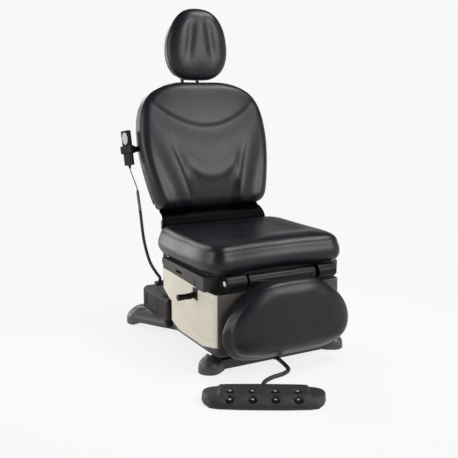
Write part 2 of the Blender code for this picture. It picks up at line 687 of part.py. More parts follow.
# Width of the seat, as a share of its widest, from front to rear
SEAT_OUTLINE = [(0.0, 0.86), (0.06, 0.94), (0.2, 0.99), (0.4, 1.0), (0.75, 1.0), (0.93, 0.965), (1.0, 0.87)]
SEAT_ROLL = 0.05      # radius of the rolled rim
SEAT_SLOPE = 0.15     # width of the rise behind the rim


def seat_front(u, v):
    """Seat plan from the front (v = 0) to the rear, with a scooped front edge and rolled rim."""
    width = SEAT_HALF * through(SEAT_OUTLINE, v)
    front = SEAT_FRONT + SEAT_SCOOP * (1 - u * u) ** 2
    y = front + (SEAT_REAR - front) * v
    edge = min((1 - abs(u)) * width, y - front, SEAT_REAR - y)
    crown = SEAT_CROWN * (1 - abs(u) ** 3) * (0.5 + 0.5 * sin(pi * v))
    return u * width, y, SEAT_RIM + SEAT_RISE * swell(edge, SEAT_ROLL) + crown * swell(edge, SEAT_SLOPE)


mesh_object("seat_cushion", cushion(26, 20, seat_front, [(0.006, 0.72), (0.004, 0.3), (-0.012, 0.0)],
                                    lambda a, b, depth: (a, b, SEAT_BOTTOM + depth)), VINYL)

# Side covers under the cushion, with an accessory slot and a step at the front
COVER_INNER = FRAME_HALF + GAP
COVER_REAR = 0.215
COVER_SPLIT = -0.073
COVER_FRONT = -0.142
COVER_DROP = 0.004    # the front block hangs this much lower
SPLIT_WIDTH = 0.004
SPLIT_HEIGHT = 0.030
TAPER = 0.010         # the lower edge rises this much towards the rear
COVER_HEEL = 0.020
SIDE_TOP = BOARD_BOTTOM - GAP
cover_low = SIDE_COVER_BOTTOM + COVER_DROP
split_top = SIDE_COVER_BOTTOM + SPLIT_HEIGHT
side_outline = [(COVER_FRONT, SIDE_COVER_BOTTOM), (COVER_SPLIT - SPLIT_WIDTH, SIDE_COVER_BOTTOM),
                (COVER_SPLIT - SPLIT_WIDTH, split_top), (COVER_SPLIT, split_top), (COVER_SPLIT, cover_low),
                (COVER_REAR - COVER_HEEL, cover_low + TAPER), (COVER_REAR, SIDE_TOP - COVER_HEEL),
                (COVER_REAR, SIDE_TOP), (COVER_FRONT, SIDE_TOP)]
SLOT_FRONT = 0.035
SLOT_LENGTH = 0.050
SLOT_HEIGHT = 0.010
SLOT_DEPTH = 0.016
SLOT_RISE = 0.022     # from the cover's lower edge to the slot
slot_low = SIDE_COVER_BOTTOM + SLOT_RISE
for side, sign in (("left", -1), ("right", 1)):
    low, high = sorted((sign * COVER_INNER, sign * SIDE_COVER_OUT))
    cut_low, cut_high = sorted((sign * (SIDE_COVER_OUT - SLOT_DEPTH), sign * (SIDE_COVER_OUT + RUN)))
    slot = box((cut_low, SLOT_FRONT, slot_low), (cut_high, SLOT_FRONT + SLOT_LENGTH, slot_low + SLOT_HEIGHT))
    build("side_cover_" + side, TRIM_TAUPE, prism(side_outline, low, high, "x"), cut=[slot])

# Cable gland on a strap that hangs from the rear left of the seat frame
STRAP = 0.004
STRAP_FRONT = 0.268
STRAP_WIDTH = 0.038
GLAND_TOP = 0.213
GLAND_HEIGHT = 0.016
GLAND_REACH = 0.0427   # from the strap to the gland's outer side
GLAND_FRONT = 0.322
GLAND_DEPTH = 0.024
strap_out = -FRAME_HALF - GAP
strap_top = FRAME_TOP - EAR_SINK
strap_rear = STRAP_FRONT + STRAP_WIDTH
gland_rear = GLAND_FRONT + GLAND_DEPTH
gland_low = GLAND_TOP - GLAND_HEIGHT
gland_out = strap_out - GLAND_REACH
strap_outline = [(STRAP_FRONT, FRAME_BOTTOM), (strap_rear, FRAME_BOTTOM), (GLAND_FRONT, gland_low),
                 (gland_rear, gland_low), (gland_rear - STRAP, FRAME_BOTTOM), (strap_rear, strap_top),
                 (STRAP_FRONT, strap_top)]
build("cable_gland", PLASTIC_BLACK, prism(strap_outline, strap_out - STRAP, strap_out, "x"), add=[
    box((gland_out, GLAND_FRONT, gland_low), (strap_out - STRAP / 2, gland_rear, GLAND_TOP))])

# Back, in a frame that leans with it: z runs up the back and y to its rear, from the hinge axis
back_pivot = pivot("back_axis", (0, BACK_Y, BACK_Z), -BACK_LEAN)
BACK_REAR = -BACK_PLATE / 2 - GAP
BACK_OUTLINE = [(0.0, 0.222), (0.035, 0.248), (0.09, 0.259), (0.2, 0.273), (0.42, 0.291), (0.58, 0.294),
                (0.77, 0.279), (0.90, 0.239), (0.975, 0.167), (1.0, 0.100)]
BACK_HEIGHT = BACK_TOP - BACK_BOTTOM
SMILE_LOW = 0.385
SMILE_HIGH = 0.479
SMILE_HALF = 0.226
CREASE_TOP = (0.21, 0.362)
CREASE_LOW = (0.11, 0.075)
SEAM_WIDTH = 0.013
SEAM_DEPTH = 0.005
CREASE_DEPTH = 0.004
BACK_ROLL = 0.032     # radius of the rolled rim
BACK_SLOPE = 0.2      # width of the rise behind the rim


def back_front(u, v):
    """Back cushion with a curved yoke channel and two creases that run down and inwards."""
    width = through(BACK_OUTLINE, v)
    x = u * width
    z = BACK_BOTTOM + BACK_HEIGHT * v
    edge = min((1 - abs(u)) * width, z - BACK_BOTTOM, BACK_TOP - z)
    rim = swell(edge, BACK_ROLL)
    depth = BACK_RIM + BACK_RISE * rim + BACK_CROWN * swell(edge, BACK_SLOPE)
    smile = SMILE_LOW + (SMILE_HIGH - SMILE_LOW) * (x / SMILE_HALF) ** 2
    depth -= SEAM_DEPTH * groove(z - smile, SEAM_WIDTH) * rim
    share = (CREASE_TOP[1] - z) / (CREASE_TOP[1] - CREASE_LOW[1])
    crease = CREASE_TOP[0] + (CREASE_LOW[0] - CREASE_TOP[0]) * share
    below = min(max(share * 4, 0), 1)
    depth -= CREASE_DEPTH * below * groove(abs(x) - crease, SEAM_WIDTH) * rim
    return x, z, depth


mesh_object("back_cushion", cushion(30, 28, back_front, [(0.001, 0.7), (-0.006, 0.3), (-0.018, 0.0)],
                                    lambda a, b, depth: (a, BACK_REAR - depth, b)), VINYL, back_pivot)

PLATE_INSET = 0.028
PLATE_STEPS = 10
plate_outline = []
for side in (1, -1):
    for step in range(PLATE_STEPS + 1):
        v = (step if side == 1 else PLATE_STEPS - step) / PLATE_STEPS
        width = through(BACK_OUTLINE, v) - PLATE_INSET
        plate_outline.append((side * width, BACK_BOTTOM + PLATE_INSET / 2 + (BACK_HEIGHT - PLATE_INSET) * v))
LUG_DROP = 0.018
LUG_DEPTH = 0.024
RAIL_HEIGHT = 0.014
GUIDE_WALL = 0.007
guide_half = POST_RADIUS + GUIDE_WALL
back_lugs = [box((x - LUG_THICK / 2, -BACK_PLATE / 2, -LUG_DROP),
                 (x + LUG_THICK / 2, LUG_DEPTH - BACK_PLATE / 2, SHELL_BOTTOM - RUN))
             for x in (-BACK_LUG_X, BACK_LUG_X)]
lug_rail = box((-BACK_LUG_X, 0, SHELL_BOTTOM - RUN - RAIL_HEIGHT),
               (BACK_LUG_X, LUG_DEPTH - BACK_PLATE / 2, SHELL_BOTTOM - RUN))
guides = [box((x - guide_half, 0, GUIDE_BOTTOM), (x + guide_half, POST_Y + guide_half, GUIDE_TOP))
          for x in (-POST_X, POST_X)]
post_holes = [rod((x, POST_Y, GUIDE_BOTTOM - RUN), (x, POST_Y, GUIDE_TOP + RUN), POST_RADIUS + PIN_FIT, 16)
              for x in (-POST_X, POST_X)]
axle_hole = rod((-SHAFT_END, 0, 0), (SHAFT_END, 0, 0), BACK_PIN_RADIUS + PIN_FIT)
build("back_frame", STEEL_BLACK, prism(plate_outline, -BACK_PLATE / 2, BACK_PLATE / 2, "y"),
      add=back_lugs + [lug_rail] + guides, cut=post_holes + [axle_hole], parent=back_pivot, solver="MANIFOLD")

# Rear shell: a dished sheet behind the frame, open where the headrest posts come out
SHELL_INSET = 0.016   # of the shell's rim inside the cushion's outline
SHELL_EDGE = 0.012    # depth of the shell at its rim
SHELL_ROLL = 0.06
SHELL_TOP = BACK_TOP - SHELL_EDGE
SHELL_START = BACK_PLATE / 2 + GAP


def shell_form(wall):
    """Dished form of the shell, or of its hollow where a wall is given."""
    low = SHELL_BOTTOM + wall
    height = SHELL_TOP - SHELL_BOTTOM - 2 * wall
    start = SHELL_START - (RUN if wall else 0)
    full = SHELL_DEPTH - wall + SHELL_START - start
    edge_depth = SHELL_EDGE - wall + SHELL_START - start

    def face(u, v):
        z = low + height * v
        width = through(BACK_OUTLINE, (z - BACK_BOTTOM) / BACK_HEIGHT) - SHELL_INSET - wall
        edge = min((1 - abs(u)) * width, height * v, height * (1 - v))
        return u * width, z, edge_depth + (full - edge_depth) * swell(edge, SHELL_ROLL)
    return cushion(12, 12, face, [(0.0, 0.0)], lambda a, b, depth: (a, start + depth, b))


HATCH = 3 * POST_RADIUS
hatch = box((-POST_X - HATCH, POST_Y - HATCH, GUIDE_TOP), (POST_X + HATCH, POST_Y + HATCH, BACK_TOP + RUN))
build("back_shell", TRIM_TAUPE, shell_form(0.0), cut=[shell_form(SHELL_WALL), hatch], parent=back_pivot,
      solver="MANIFOLD")

# Hinge cover: a strip curved round the recline axis, seated on the back's lugs
COVER_SHEET = 0.003
COVER_STEPS = 14
COVER_START = radians(-38)
COVER_SWEEP = radians(121)
cover_end = BACK_PLATE / 2 + GAP
arc = []
for radius, order in ((HINGE_COVER_RADIUS, 1), (HINGE_COVER_RADIUS - COVER_SHEET, -1)):
    row = []
    for step in range(COVER_STEPS + 1):
        angle = COVER_START + COVER_SWEEP * step / COVER_STEPS
        row.append((min(-radius * cos(angle), -cover_end), radius * sin(angle)))
    arc += row[::order]
build("hinge_cover", VINYL, prism(arc, -HINGE_COVER_HALF, HINGE_COVER_HALF, "x"), parent=back_pivot)

# Headrest: posts joined by a cross bar, on which the headrest tilts
BAR_RADIUS = 0.006
posts = [rod((x, POST_Y, POST_BOTTOM), (x, POST_Y, HEAD_PIVOT + POST_RADIUS), POST_RADIUS, 16)
         for x in (-POST_X, POST_X)]
build("headrest_posts", STEEL_BLACK,
      rod((-POST_X, POST_Y, HEAD_PIVOT), (POST_X, POST_Y, HEAD_PIVOT), BAR_RADIUS, 16),
      add=posts, parent=back_pivot, solver="MANIFOLD")

# Width of the headrest, as a share of its widest, from the neck to the top
HEAD_OUTLINE = [(0.0, 0.40), (0.05, 0.65), (0.16, 0.88), (0.35, 1.0), (0.55, 0.98), (0.75, 0.85),
                (0.90, 0.63), (0.97, 0.45), (1.0, 0.33)]
SLOT_HIGH = (0.034, 0.85)
SLOT_LOW = (0.056, 0.30)
HEAD_SEAM = 0.008
HEAD_SEAM_DEPTH = 0.005
HEAD_ROLL = 0.042
HEAD_SLOPE = 0.12


def head_front(u, v):
    """Egg-shaped headrest with two channels that part towards the neck."""
    width = HEAD_HALF * through(HEAD_OUTLINE, v)
    x = u * width
    edge = min((1 - abs(u)) * width, HEAD_HEIGHT * v, HEAD_HEIGHT * (1 - v))
    rim = swell(edge, HEAD_ROLL)
    depth = HEAD_RIM + HEAD_RISE * rim + HEAD_CROWN * swell(edge, HEAD_SLOPE)
    share = (SLOT_HIGH[1] - v) / (SLOT_HIGH[1] - SLOT_LOW[1])
    middle = SLOT_HIGH[0] + (SLOT_LOW[0] - SLOT_HIGH[0]) * share
    along = min(max(1.6 - abs(share - 0.5) * 2, 0), 1)
    depth -= HEAD_SEAM_DEPTH * along * groove(abs(x) - middle, HEAD_SEAM) * rim
    return x, HEAD_BOTTOM + HEAD_HEIGHT * v, depth


mesh_object("headrest_cushion", cushion(26, 20, head_front, [(0.0, 0.65), (-0.005, 0.3), (-0.013, 0.0)],
                                        lambda a, b, depth: (a, HEAD_REAR - depth, b)), VINYL)
HEAD_AXIS_Y = BACK_Y + POST_Y * cos(BACK_LEAN) + HEAD_PIVOT * sin(BACK_LEAN)
HEAD_AXIS_Z = BACK_Z - POST_Y * sin(BACK_LEAN) + HEAD_PIVOT * cos(BACK_LEAN)


HEAD_SHELL_EDGE = 0.004
HEAD_SHELL_MARGIN = 0.06  # share of the height that the shell leaves bare at each end
HEAD_SHELL_INSET = 0.008


def head_rear(u, v):
    share = HEAD_SHELL_MARGIN + (1 - 2 * HEAD_SHELL_MARGIN) * v
    width = HEAD_HALF * through(HEAD_OUTLINE, share) - HEAD_SHELL_INSET
    edge = min((1 - abs(u)) * width, HEAD_HEIGHT * v, HEAD_HEIGHT * (1 - v))
    depth = HEAD_SHELL_EDGE + (HEAD_SHELL - HEAD_SHELL_EDGE) * swell(edge, HEAD_ROLL)
    return u * width, HEAD_BOTTOM + HEAD_HEIGHT * share, depth


HEAD_BLOCK_CLEAR = 0.002
HEAD_BLOCK = POST_X - POST_RADIUS - HEAD_BLOCK_CLEAR
HEAD_BLOCK_HALF = 0.015
build("headrest_shell", PLASTIC_BLACK,
      cushion(10, 10, head_rear, [(0.0, 0.0)], lambda a, b, depth: (a, HEAD_REAR + GAP + depth, b)),
      add=[box((-HEAD_BLOCK, HEAD_REAR + HEAD_SHELL / 2, HEAD_AXIS_Z - HEAD_BLOCK_HALF),
               (HEAD_BLOCK, HEAD_AXIS_Y + HEAD_BLOCK_HALF, HEAD_AXIS_Z + HEAD_BLOCK_HALF))],
      cut=[rod((-POST_X, HEAD_AXIS_Y, HEAD_AXIS_Z), (POST_X, HEAD_AXIS_Y, HEAD_AXIS_Z),
               BAR_RADIUS + PIN_FIT, 16)], solver="MANIFOLD")

# Leg section: a tube that turns in two end caps, arms, and a padded board that slides on them
STUB_RADIUS = 0.010
STUB_LENGTH = 0.026
CAP_SEAT = 0.004      # the cap's foot starts this far below the axis
SCREW_RADIUS = 0.011
SCREW_TOP = 0.008
SCREW_HEAD = 0.006


def on_leg_axis(x):
    return x, LEG_AXIS_Y, LEG_AXIS_Z


for side, sign in (("left", -1), ("right", 1)):
    foot_low, foot_high = sorted((sign * (CAP_INNER + CAP_SEAT), sign * (CAP_OUTER - 2 * CAP_SEAT)))
    foot = box((foot_low, LEG_AXIS_Y, LEG_AXIS_Z - CAP_SEAT), (foot_high, FRAME_FRONT - GAP, ear_high))
    bore = rod(on_leg_axis(sign * (CAP_INNER - RUN)), on_leg_axis(sign * (CAP_INNER + STUB_LENGTH + RUN)),
               STUB_RADIUS + PIN_FIT, 16)
    build("hinge_cap_" + side, PLASTIC_BLACK,
          rod(on_leg_axis(sign * CAP_INNER), on_leg_axis(sign * CAP_OUTER), CAP_RADIUS, 24),
          add=[foot], cut=[bore], solver="MANIFOLD")
    build("hinge_screw_" + side, STEEL_BRIGHT,
          rod(on_leg_axis(sign * (CAP_OUTER + GAP)), on_leg_axis(sign * (CAP_OUTER + SCREW_HEAD)),
              SCREW_RADIUS, 16, SCREW_TOP))
leg_pivot = pivot("leg_axis", on_leg_axis(0))
STUB_END = CAP_INNER + STUB_LENGTH
arm_front = LEG_BOARD_REAR + GAP - LEG_AXIS_Y
arms = [box((x - LEG_ARM_HALF, arm_front, LEG_ARM_BOTTOM - LEG_AXIS_Z),
            (x + LEG_ARM_HALF, arm_front + LEG_ARM_THICK, 0)) for x in (-LEG_ARM_X, LEG_ARM_X)]
build("leg_frame", STEEL_BLACK, rod((-LEG_TUBE_HALF, 0, 0), (LEG_TUBE_HALF, 0, 0), LEG_TUBE_RADIUS, 24),
      add=[rod((-STUB_END, 0, 0), (STUB_END, 0, 0), STUB_RADIUS, 16)] + arms, parent=leg_pivot,
      solver="MANIFOLD")

# Width of the leg pad, as a share of its widest, from its lower edge to its top
LEG_OUTLINE = [(0.0, 0.52), (0.04, 0.80), (0.12, 0.93), (0.25, 0.99), (0.40, 1.0), (0.60, 0.93), (0.76, 0.79),
               (0.90, 0.60), (0.97, 0.46), (1.0, 0.33)]
LEG_PAD_HEIGHT = LEG_PAD_TOP - LEG_PAD_BOTTOM
LEG_PAD_REAR = LEG_BOARD_REAR - LEG_BOARD_THICK - GAP
LEG_ROLL = 0.045
LEG_SLOPE = 0.12


def leg_front(u, v):
    """Leg pad: broad and round below, narrower above, with rolled edges."""
    width = LEG_PAD_HALF * through(LEG_OUTLINE, v)
    edge = min((1 - abs(u)) * width, LEG_PAD_HEIGHT * v, LEG_PAD_HEIGHT * (1 - v))
    depth = LEG_PAD_RIM + LEG_PAD_RISE * swell(edge, LEG_ROLL) + LEG_PAD_CROWN * swell(edge, LEG_SLOPE)
    return u * width, LEG_PAD_BOTTOM + LEG_PAD_HEIGHT * v, depth


def below_top(way):
    """The pad's walls flare at its sides and lower edge, and not at the top under the hinge."""
    return min(max(0.5 - way.y, 0), 0.5) * 2


mesh_object("leg_cushion", cushion(22, 18, leg_front, [(0.010, 0.72), (0.020, 0.35), (0.014, 0.0)],
                                   lambda a, b, depth: (a, LEG_PAD_REAR - depth, b), below_top), VINYL)
BOARD_INSET = 0.018
STRIP_INSET = 0.012   # the bright strip lies this far below the pad's top
STRIP_HEIGHT = 0.006
LEG_BOARD_TOP = LEG_PAD_TOP - STRIP_INSET
leg_board = []
for side in (1, -1):
    for step in range(PLATE_STEPS + 1):
        v = (step if side == 1 else PLATE_STEPS - step) / PLATE_STEPS
        width = LEG_PAD_HALF * through(LEG_OUTLINE, v) - BOARD_INSET
        leg_board.append((side * width, LEG_PAD_BOTTOM + BOARD_INSET / 2
                          + (LEG_BOARD_TOP - LEG_PAD_BOTTOM - BOARD_INSET / 2) * v))
build("leg_board", BOARD_WOOD, prism(leg_board, LEG_BOARD_REAR - LEG_BOARD_THICK, LEG_BOARD_REAR, "y"))
STRIP_HALF = LEG_PAD_HALF * LEG_OUTLINE[-1][1] - BOARD_INSET
build("leg_strip", STEEL_BRIGHT,
      box((-STRIP_HALF, LEG_BOARD_REAR - LEG_BOARD_THICK, LEG_BOARD_TOP + GAP),
          (STRIP_HALF, LEG_BOARD_REAR, LEG_BOARD_TOP + STRIP_HEIGHT)))

# Handset in a holder on the left edge of the back frame
HOLDER_HEIGHT = 0.030
HOLDER_CLEAR = 0.003  # from the holder's top to the keypad
HOLDER_WALL = 0.004
HOLDER_FIT = 0.0006
HANDSET_CORNER = 0.009
RELIEF_LENGTH = 0.014
RELIEF_RADIUS = 0.007
RELIEF_TIP = 0.004
half_t = HANDSET_THICK / 2
half_w = HANDSET_WIDTH / 2
handset_top = HANDSET_BOTTOM + HANDSET_LENGTH
body = prism(rounded(half_t, -half_w, half_w, HANDSET_CORNER, 3), HANDSET_BOTTOM, handset_top)
bmesh.ops.translate(body, vec=(HANDSET_X, HANDSET_Y, 0), verts=body.verts)


def turned(shape):
    """The handset's face looks forward and out, so its pieces are turned about its middle line."""
    bmesh.ops.rotate(shape, cent=(HANDSET_X, HANDSET_Y, 0), matrix=Matrix.Rotation(HANDSET_TURN, 3, "Z"),
                     verts=shape.verts)
    return shape


relief = rod((HANDSET_X, HANDSET_Y, HANDSET_BOTTOM + RELIEF_TIP),
             (HANDSET_X, HANDSET_Y, HANDSET_BOTTOM - RELIEF_LENGTH), RELIEF_RADIUS, 12, RELIEF_TIP)
build("handset_body", PLASTIC_BLACK, turned(body), add=[relief], parent=back_pivot)
FACE_THICK = 0.002
FACE_HALF = 0.014
FACE_LENGTH = 0.052
FACE_MARGIN = 0.006   # from the handset's top to the keypad
FACE_STEPS = 20
face_middle = handset_top - FACE_MARGIN - FACE_LENGTH / 2
face_outline = []
for step in range(FACE_STEPS):
    angle = 2 * pi * step / FACE_STEPS
    face_outline.append((HANDSET_Y + FACE_HALF * cos(angle), face_middle + FACE_LENGTH / 2 * sin(angle)))
face_x = HANDSET_X - half_t - GAP
build("handset_keypad", KEYPAD_GREY, turned(prism(face_outline, face_x - FACE_THICK, face_x, "x")),
      parent=back_pivot)


def holder_box(grow, low, high):
    return turned(box((HANDSET_X - half_t - grow, HANDSET_Y - half_w - grow, low),
                      (HANDSET_X + half_t + grow, HANDSET_Y + half_w + grow, high)))


holder_top = face_middle - FACE_LENGTH / 2 - HOLDER_CLEAR
holder_low = holder_top - HOLDER_HEIGHT
holder_v = (holder_low + HOLDER_HEIGHT / 2 - BACK_BOTTOM) / BACK_HEIGHT
holder_end = -(through(BACK_OUTLINE, holder_v) - PLATE_INSET + HOLDER_WALL)
arm_half = BACK_PLATE / 2 - GAP
build("handset_holder", PLASTIC_BLACK, holder_box(HOLDER_FIT + HOLDER_WALL, holder_low, holder_top),
      add=[box((HANDSET_X + half_t + HOLDER_FIT + GAP, -arm_half, holder_low + HOLDER_WALL),
               (holder_end, arm_half, holder_top - HOLDER_WALL))],
      cut=[holder_box(HOLDER_FIT, holder_low - RUN, holder_top + RUN)],
      parent=back_pivot, solver="MANIFOLD")

# Cords: tubes along a smooth curve through the points of their routes
CORD_STEP = 2         # diameters between two points of a cord
CORD_LEAD = 1.2       # diameters that a cord runs straight out of what holds it
FINE = 40             # samples of the curve between two points of its route


def cord(name, start, start_way, route, end, end_way, diameter):
    """Round cord: a straight lead at each end, and between them a smooth curve through its route."""
    lead = CORD_LEAD * diameter
    stops = [start, start + start_way * lead, *route, end - end_way * lead, end]
    curves = [[(stop, point[axis]) for stop, point in enumerate(stops)] for axis in range(3)]
    last = len(stops) - 2
    fine = [Vector([through(curve, 1 + step / FINE) for curve in curves])
            for step in range(FINE * (last - 1) + 1)]
    lengths = [0.0]
    for a, b in zip(fine, fine[1:]):
        lengths.append(lengths[-1] + (b - a).length)
    spans = round(lengths[-1] / (CORD_STEP * diameter))
    points = [start]
    at = 0
    for number in range(spans + 1):
        wanted = lengths[-1] * number / spans
        while at < len(fine) - 2 and lengths[at + 1] < wanted:
            at += 1
        share = (wanted - lengths[at]) / (lengths[at + 1] - lengths[at])
        points.append(fine[at].lerp(fine[at + 1], share))
    points.append(end)
    data = bpy.data.curves.new(name, "CURVE")
    data.dimensions = "3D"
    data.bevel_depth = diameter / 2
    data.bevel_resolution = 2
    data.use_fill_caps = True
    line = data.splines.new("POLY")
    line.points.add(len(points) - 1)
    for spot, point in zip(line.points, points):
        spot.co = (*point, 1)
    made = bpy.data.objects.new(name, data)
    bpy.context.scene.collection.objects.link(made)
    data.materials.append(material(name, *RUBBER))
    print(f"{name}: {lengths[-1] + 2 * lead:.3f} m long")
    return made


def in_back(z):
    """World place of a point on the handset's middle line, z up the back from the hinge axis."""
    return Vector((HANDSET_X, BACK_Y + HANDSET_Y * cos(BACK_LEAN) + z * sin(BACK_LEAN),
                   BACK_Z - HANDSET_Y * sin(BACK_LEAN) + z * cos(BACK_LEAN)))


relief_end = HANDSET_BOTTOM - RELIEF_LENGTH - GAP
down_back = (in_back(0) - in_back(1)).normalized()
CONNECTOR_TOP = Vector((-0.2885, 0.447, 0.577))
CONNECTOR_LOW = Vector((-0.2795, 0.444, 0.490))
along_plug = (CONNECTOR_LOW - CONNECTOR_TOP).normalized()
cord("handset_cord", in_back(relief_end), down_back, [Vector((-0.3075, 0.4425, 0.630))],
     CONNECTOR_TOP - along_plug * GAP, along_plug, THIN_CORD)
# The cable's way down: reach out from the strap, then y and z
CABLE_ROUTE = [(0.0532, 0.424, 0.369), (0.0462, 0.386, 0.290), (0.0337, 0.347, 0.247)]
build("cord_connector", KEYPAD_GREY, rod(CONNECTOR_TOP, CONNECTOR_LOW, CONNECTOR_RADIUS, 16))
mouth = Vector(((gland_out + strap_out - STRAP) / 2, (GLAND_FRONT + gland_rear) / 2, GLAND_TOP + GAP))
cord("handset_cable", CONNECTOR_LOW + along_plug * GAP, along_plug,
     [Vector((strap_out - reach, y, z)) for reach, y, z in CABLE_ROUTE],
     mouth, Vector((0, 0, -1)), THICK_CORD)

# Foot control: floor plate with a cord relief, wedge cover and eight buttons in two rows
pedal_pivot = pivot("pedal_place", (PEDAL_X, PEDAL_Y, 0))
pedal_pivot.rotation_euler = (0, 0, PEDAL_TURN)
# One half of the plan, as shares of the half width and of the depth, from front to rear
PEDAL_SIDE = [(0.0, -0.518), (0.36, -0.512), (0.72, -0.475), (0.86, -0.40), (0.95, -0.16), (1.0, 0.13),
              (0.97, 0.32), (0.86, 0.46), (0.60, 0.50), (0.0, 0.518)]
right_side = [(PEDAL_HALF * a, PEDAL_DEPTH * b) for a, b in PEDAL_SIDE]
pedal_outline = right_side + [(-x, y) for x, y in right_side[-2:0:-1]]
pedal_rear = right_side[-1][1]
PEDAL_RELIEF = 0.0105
PEDAL_RELIEF_TIP = 0.009
PEDAL_RELIEF_LENGTH = 0.028
PEDAL_RELIEF_ROOT = 0.006
PEDAL_RELIEF_Z = 0.012


def relief_rod(grow):
    return rod((0, pedal_rear - PEDAL_RELIEF_ROOT - grow, PEDAL_RELIEF_Z),
               (0, pedal_rear + PEDAL_RELIEF_LENGTH + grow, PEDAL_RELIEF_Z), PEDAL_RELIEF + grow, 16,
               PEDAL_RELIEF_TIP + grow)


build("pedal_plate", RUBBER, prism(pedal_outline, 0, PEDAL_FLOOR), add=[relief_rod(0)], parent=pedal_pivot)
LIP_BOTTOM = PEDAL_FLOOR + GAP
STRIP_FRONT = -0.023  # front edge of the raised rear strip
STRIP_STEP = 0.003
STRIP_FALL = 0.006    # fall of the strip from rear to front
LIP_HEIGHT = 0.006
strip_low = PEDAL_HEIGHT - STRIP_FALL
profile = [(pedal_rear + RUN, LIP_BOTTOM), (pedal_rear - RUN, PEDAL_HEIGHT), (STRIP_FRONT, strip_low),
           (STRIP_FRONT - STRIP_STEP / 2, strip_low - STRIP_STEP),
           (RUN - pedal_rear, LIP_BOTTOM + LIP_HEIGHT), (-pedal_rear - RUN, LIP_BOTTOM)]
ROWS = (0.002, -0.0365)


def height_at(y):
    """Height of the cover's upper face at a distance from its middle."""
    for (y0, z0), (y1, z1) in zip(profile[1:], profile[2:]):
        if y1 <= y <= y0:
            return z0 + (z1 - z0) * (y0 - y) / (y0 - y1)
    return LIP_BOTTOM


BUTTON_SINK = 0.006
BUTTON_PROUD = 0.004
BUTTON_TIP = 0.0072
button_places = [((column - 1.5) * BUTTON_PITCH, y, height_at(y)) for y in ROWS for column in range(4)]
pocket_depth = BUTTON_SINK + BUTTON_TRAVEL + GAP
pockets = [rod((x, y, z - pocket_depth), (x, y, z + BUTTON_PROUD), BUTTON_RADIUS + PIN_FIT, 16)
           for x, y, z in button_places]
build("pedal_cover", PLASTIC_BLACK, prism(profile, -PEDAL_HALF - RUN, PEDAL_HALF + RUN, "x"),
      keep=[prism(pedal_outline, 0, PEDAL_HEIGHT + RUN)], cut=pockets + [relief_rod(GAP)], parent=pedal_pivot,
      solver="MANIFOLD")
for number, place in enumerate(button_places, 1):
    button_pivot = pivot(f"button_axis_{number}", place)
    button_pivot.parent = pedal_pivot
    build(f"pedal_button_{number}", KEYPAD_GREY,
          rod((0, 0, -BUTTON_SINK), (0, 0, BUTTON_PROUD), BUTTON_RADIUS, 16, BUTTON_TIP), parent=button_pivot)


def behind_pedal(y, z):
    """World place of a point straight behind the foot control's middle."""
    return Vector((PEDAL_X - y * sin(PEDAL_TURN), PEDAL_Y + y * cos(PEDAL_TURN), z))


CORD_LIE = PEDAL_CORD / 2 + GAP
pedal_end = pedal_rear + PEDAL_RELIEF_LENGTH + GAP
into_pedal = (behind_pedal(0, 0) - behind_pedal(1, 0)).normalized()
cord("pedal_cord", Vector((GLAND_X, GLAND_END - GAP, GLAND_Z)), Vector((0, -1, 0)),
     [Vector((-0.012, -0.245, 0.0125)), Vector((-0.020, -0.280, CORD_LIE)),
      Vector((-0.055, -0.302, CORD_LIE)), Vector((-0.105, -0.311, CORD_LIE)),
      Vector((-0.146, -0.330, CORD_LIE))],
     behind_pedal(pedal_end, PEDAL_RELIEF_Z), into_pedal, PEDAL_CORD)
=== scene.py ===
# %% [markdown]
# # Dressing a powered procedure chair
# The solids of the chair already have their real sizes and joints. This lesson gives them their looks:
# padded vinyl, moulded plastic, painted castings, cords and studio light. Lengths are metres, +Z is up,
# the chair faces -Y and +X is the sitter's left. In names, left and right are as seen from the front.

# %% Load the frame
import json
from math import atan2, cos, exp, hypot, pi, radians, sin, sqrt

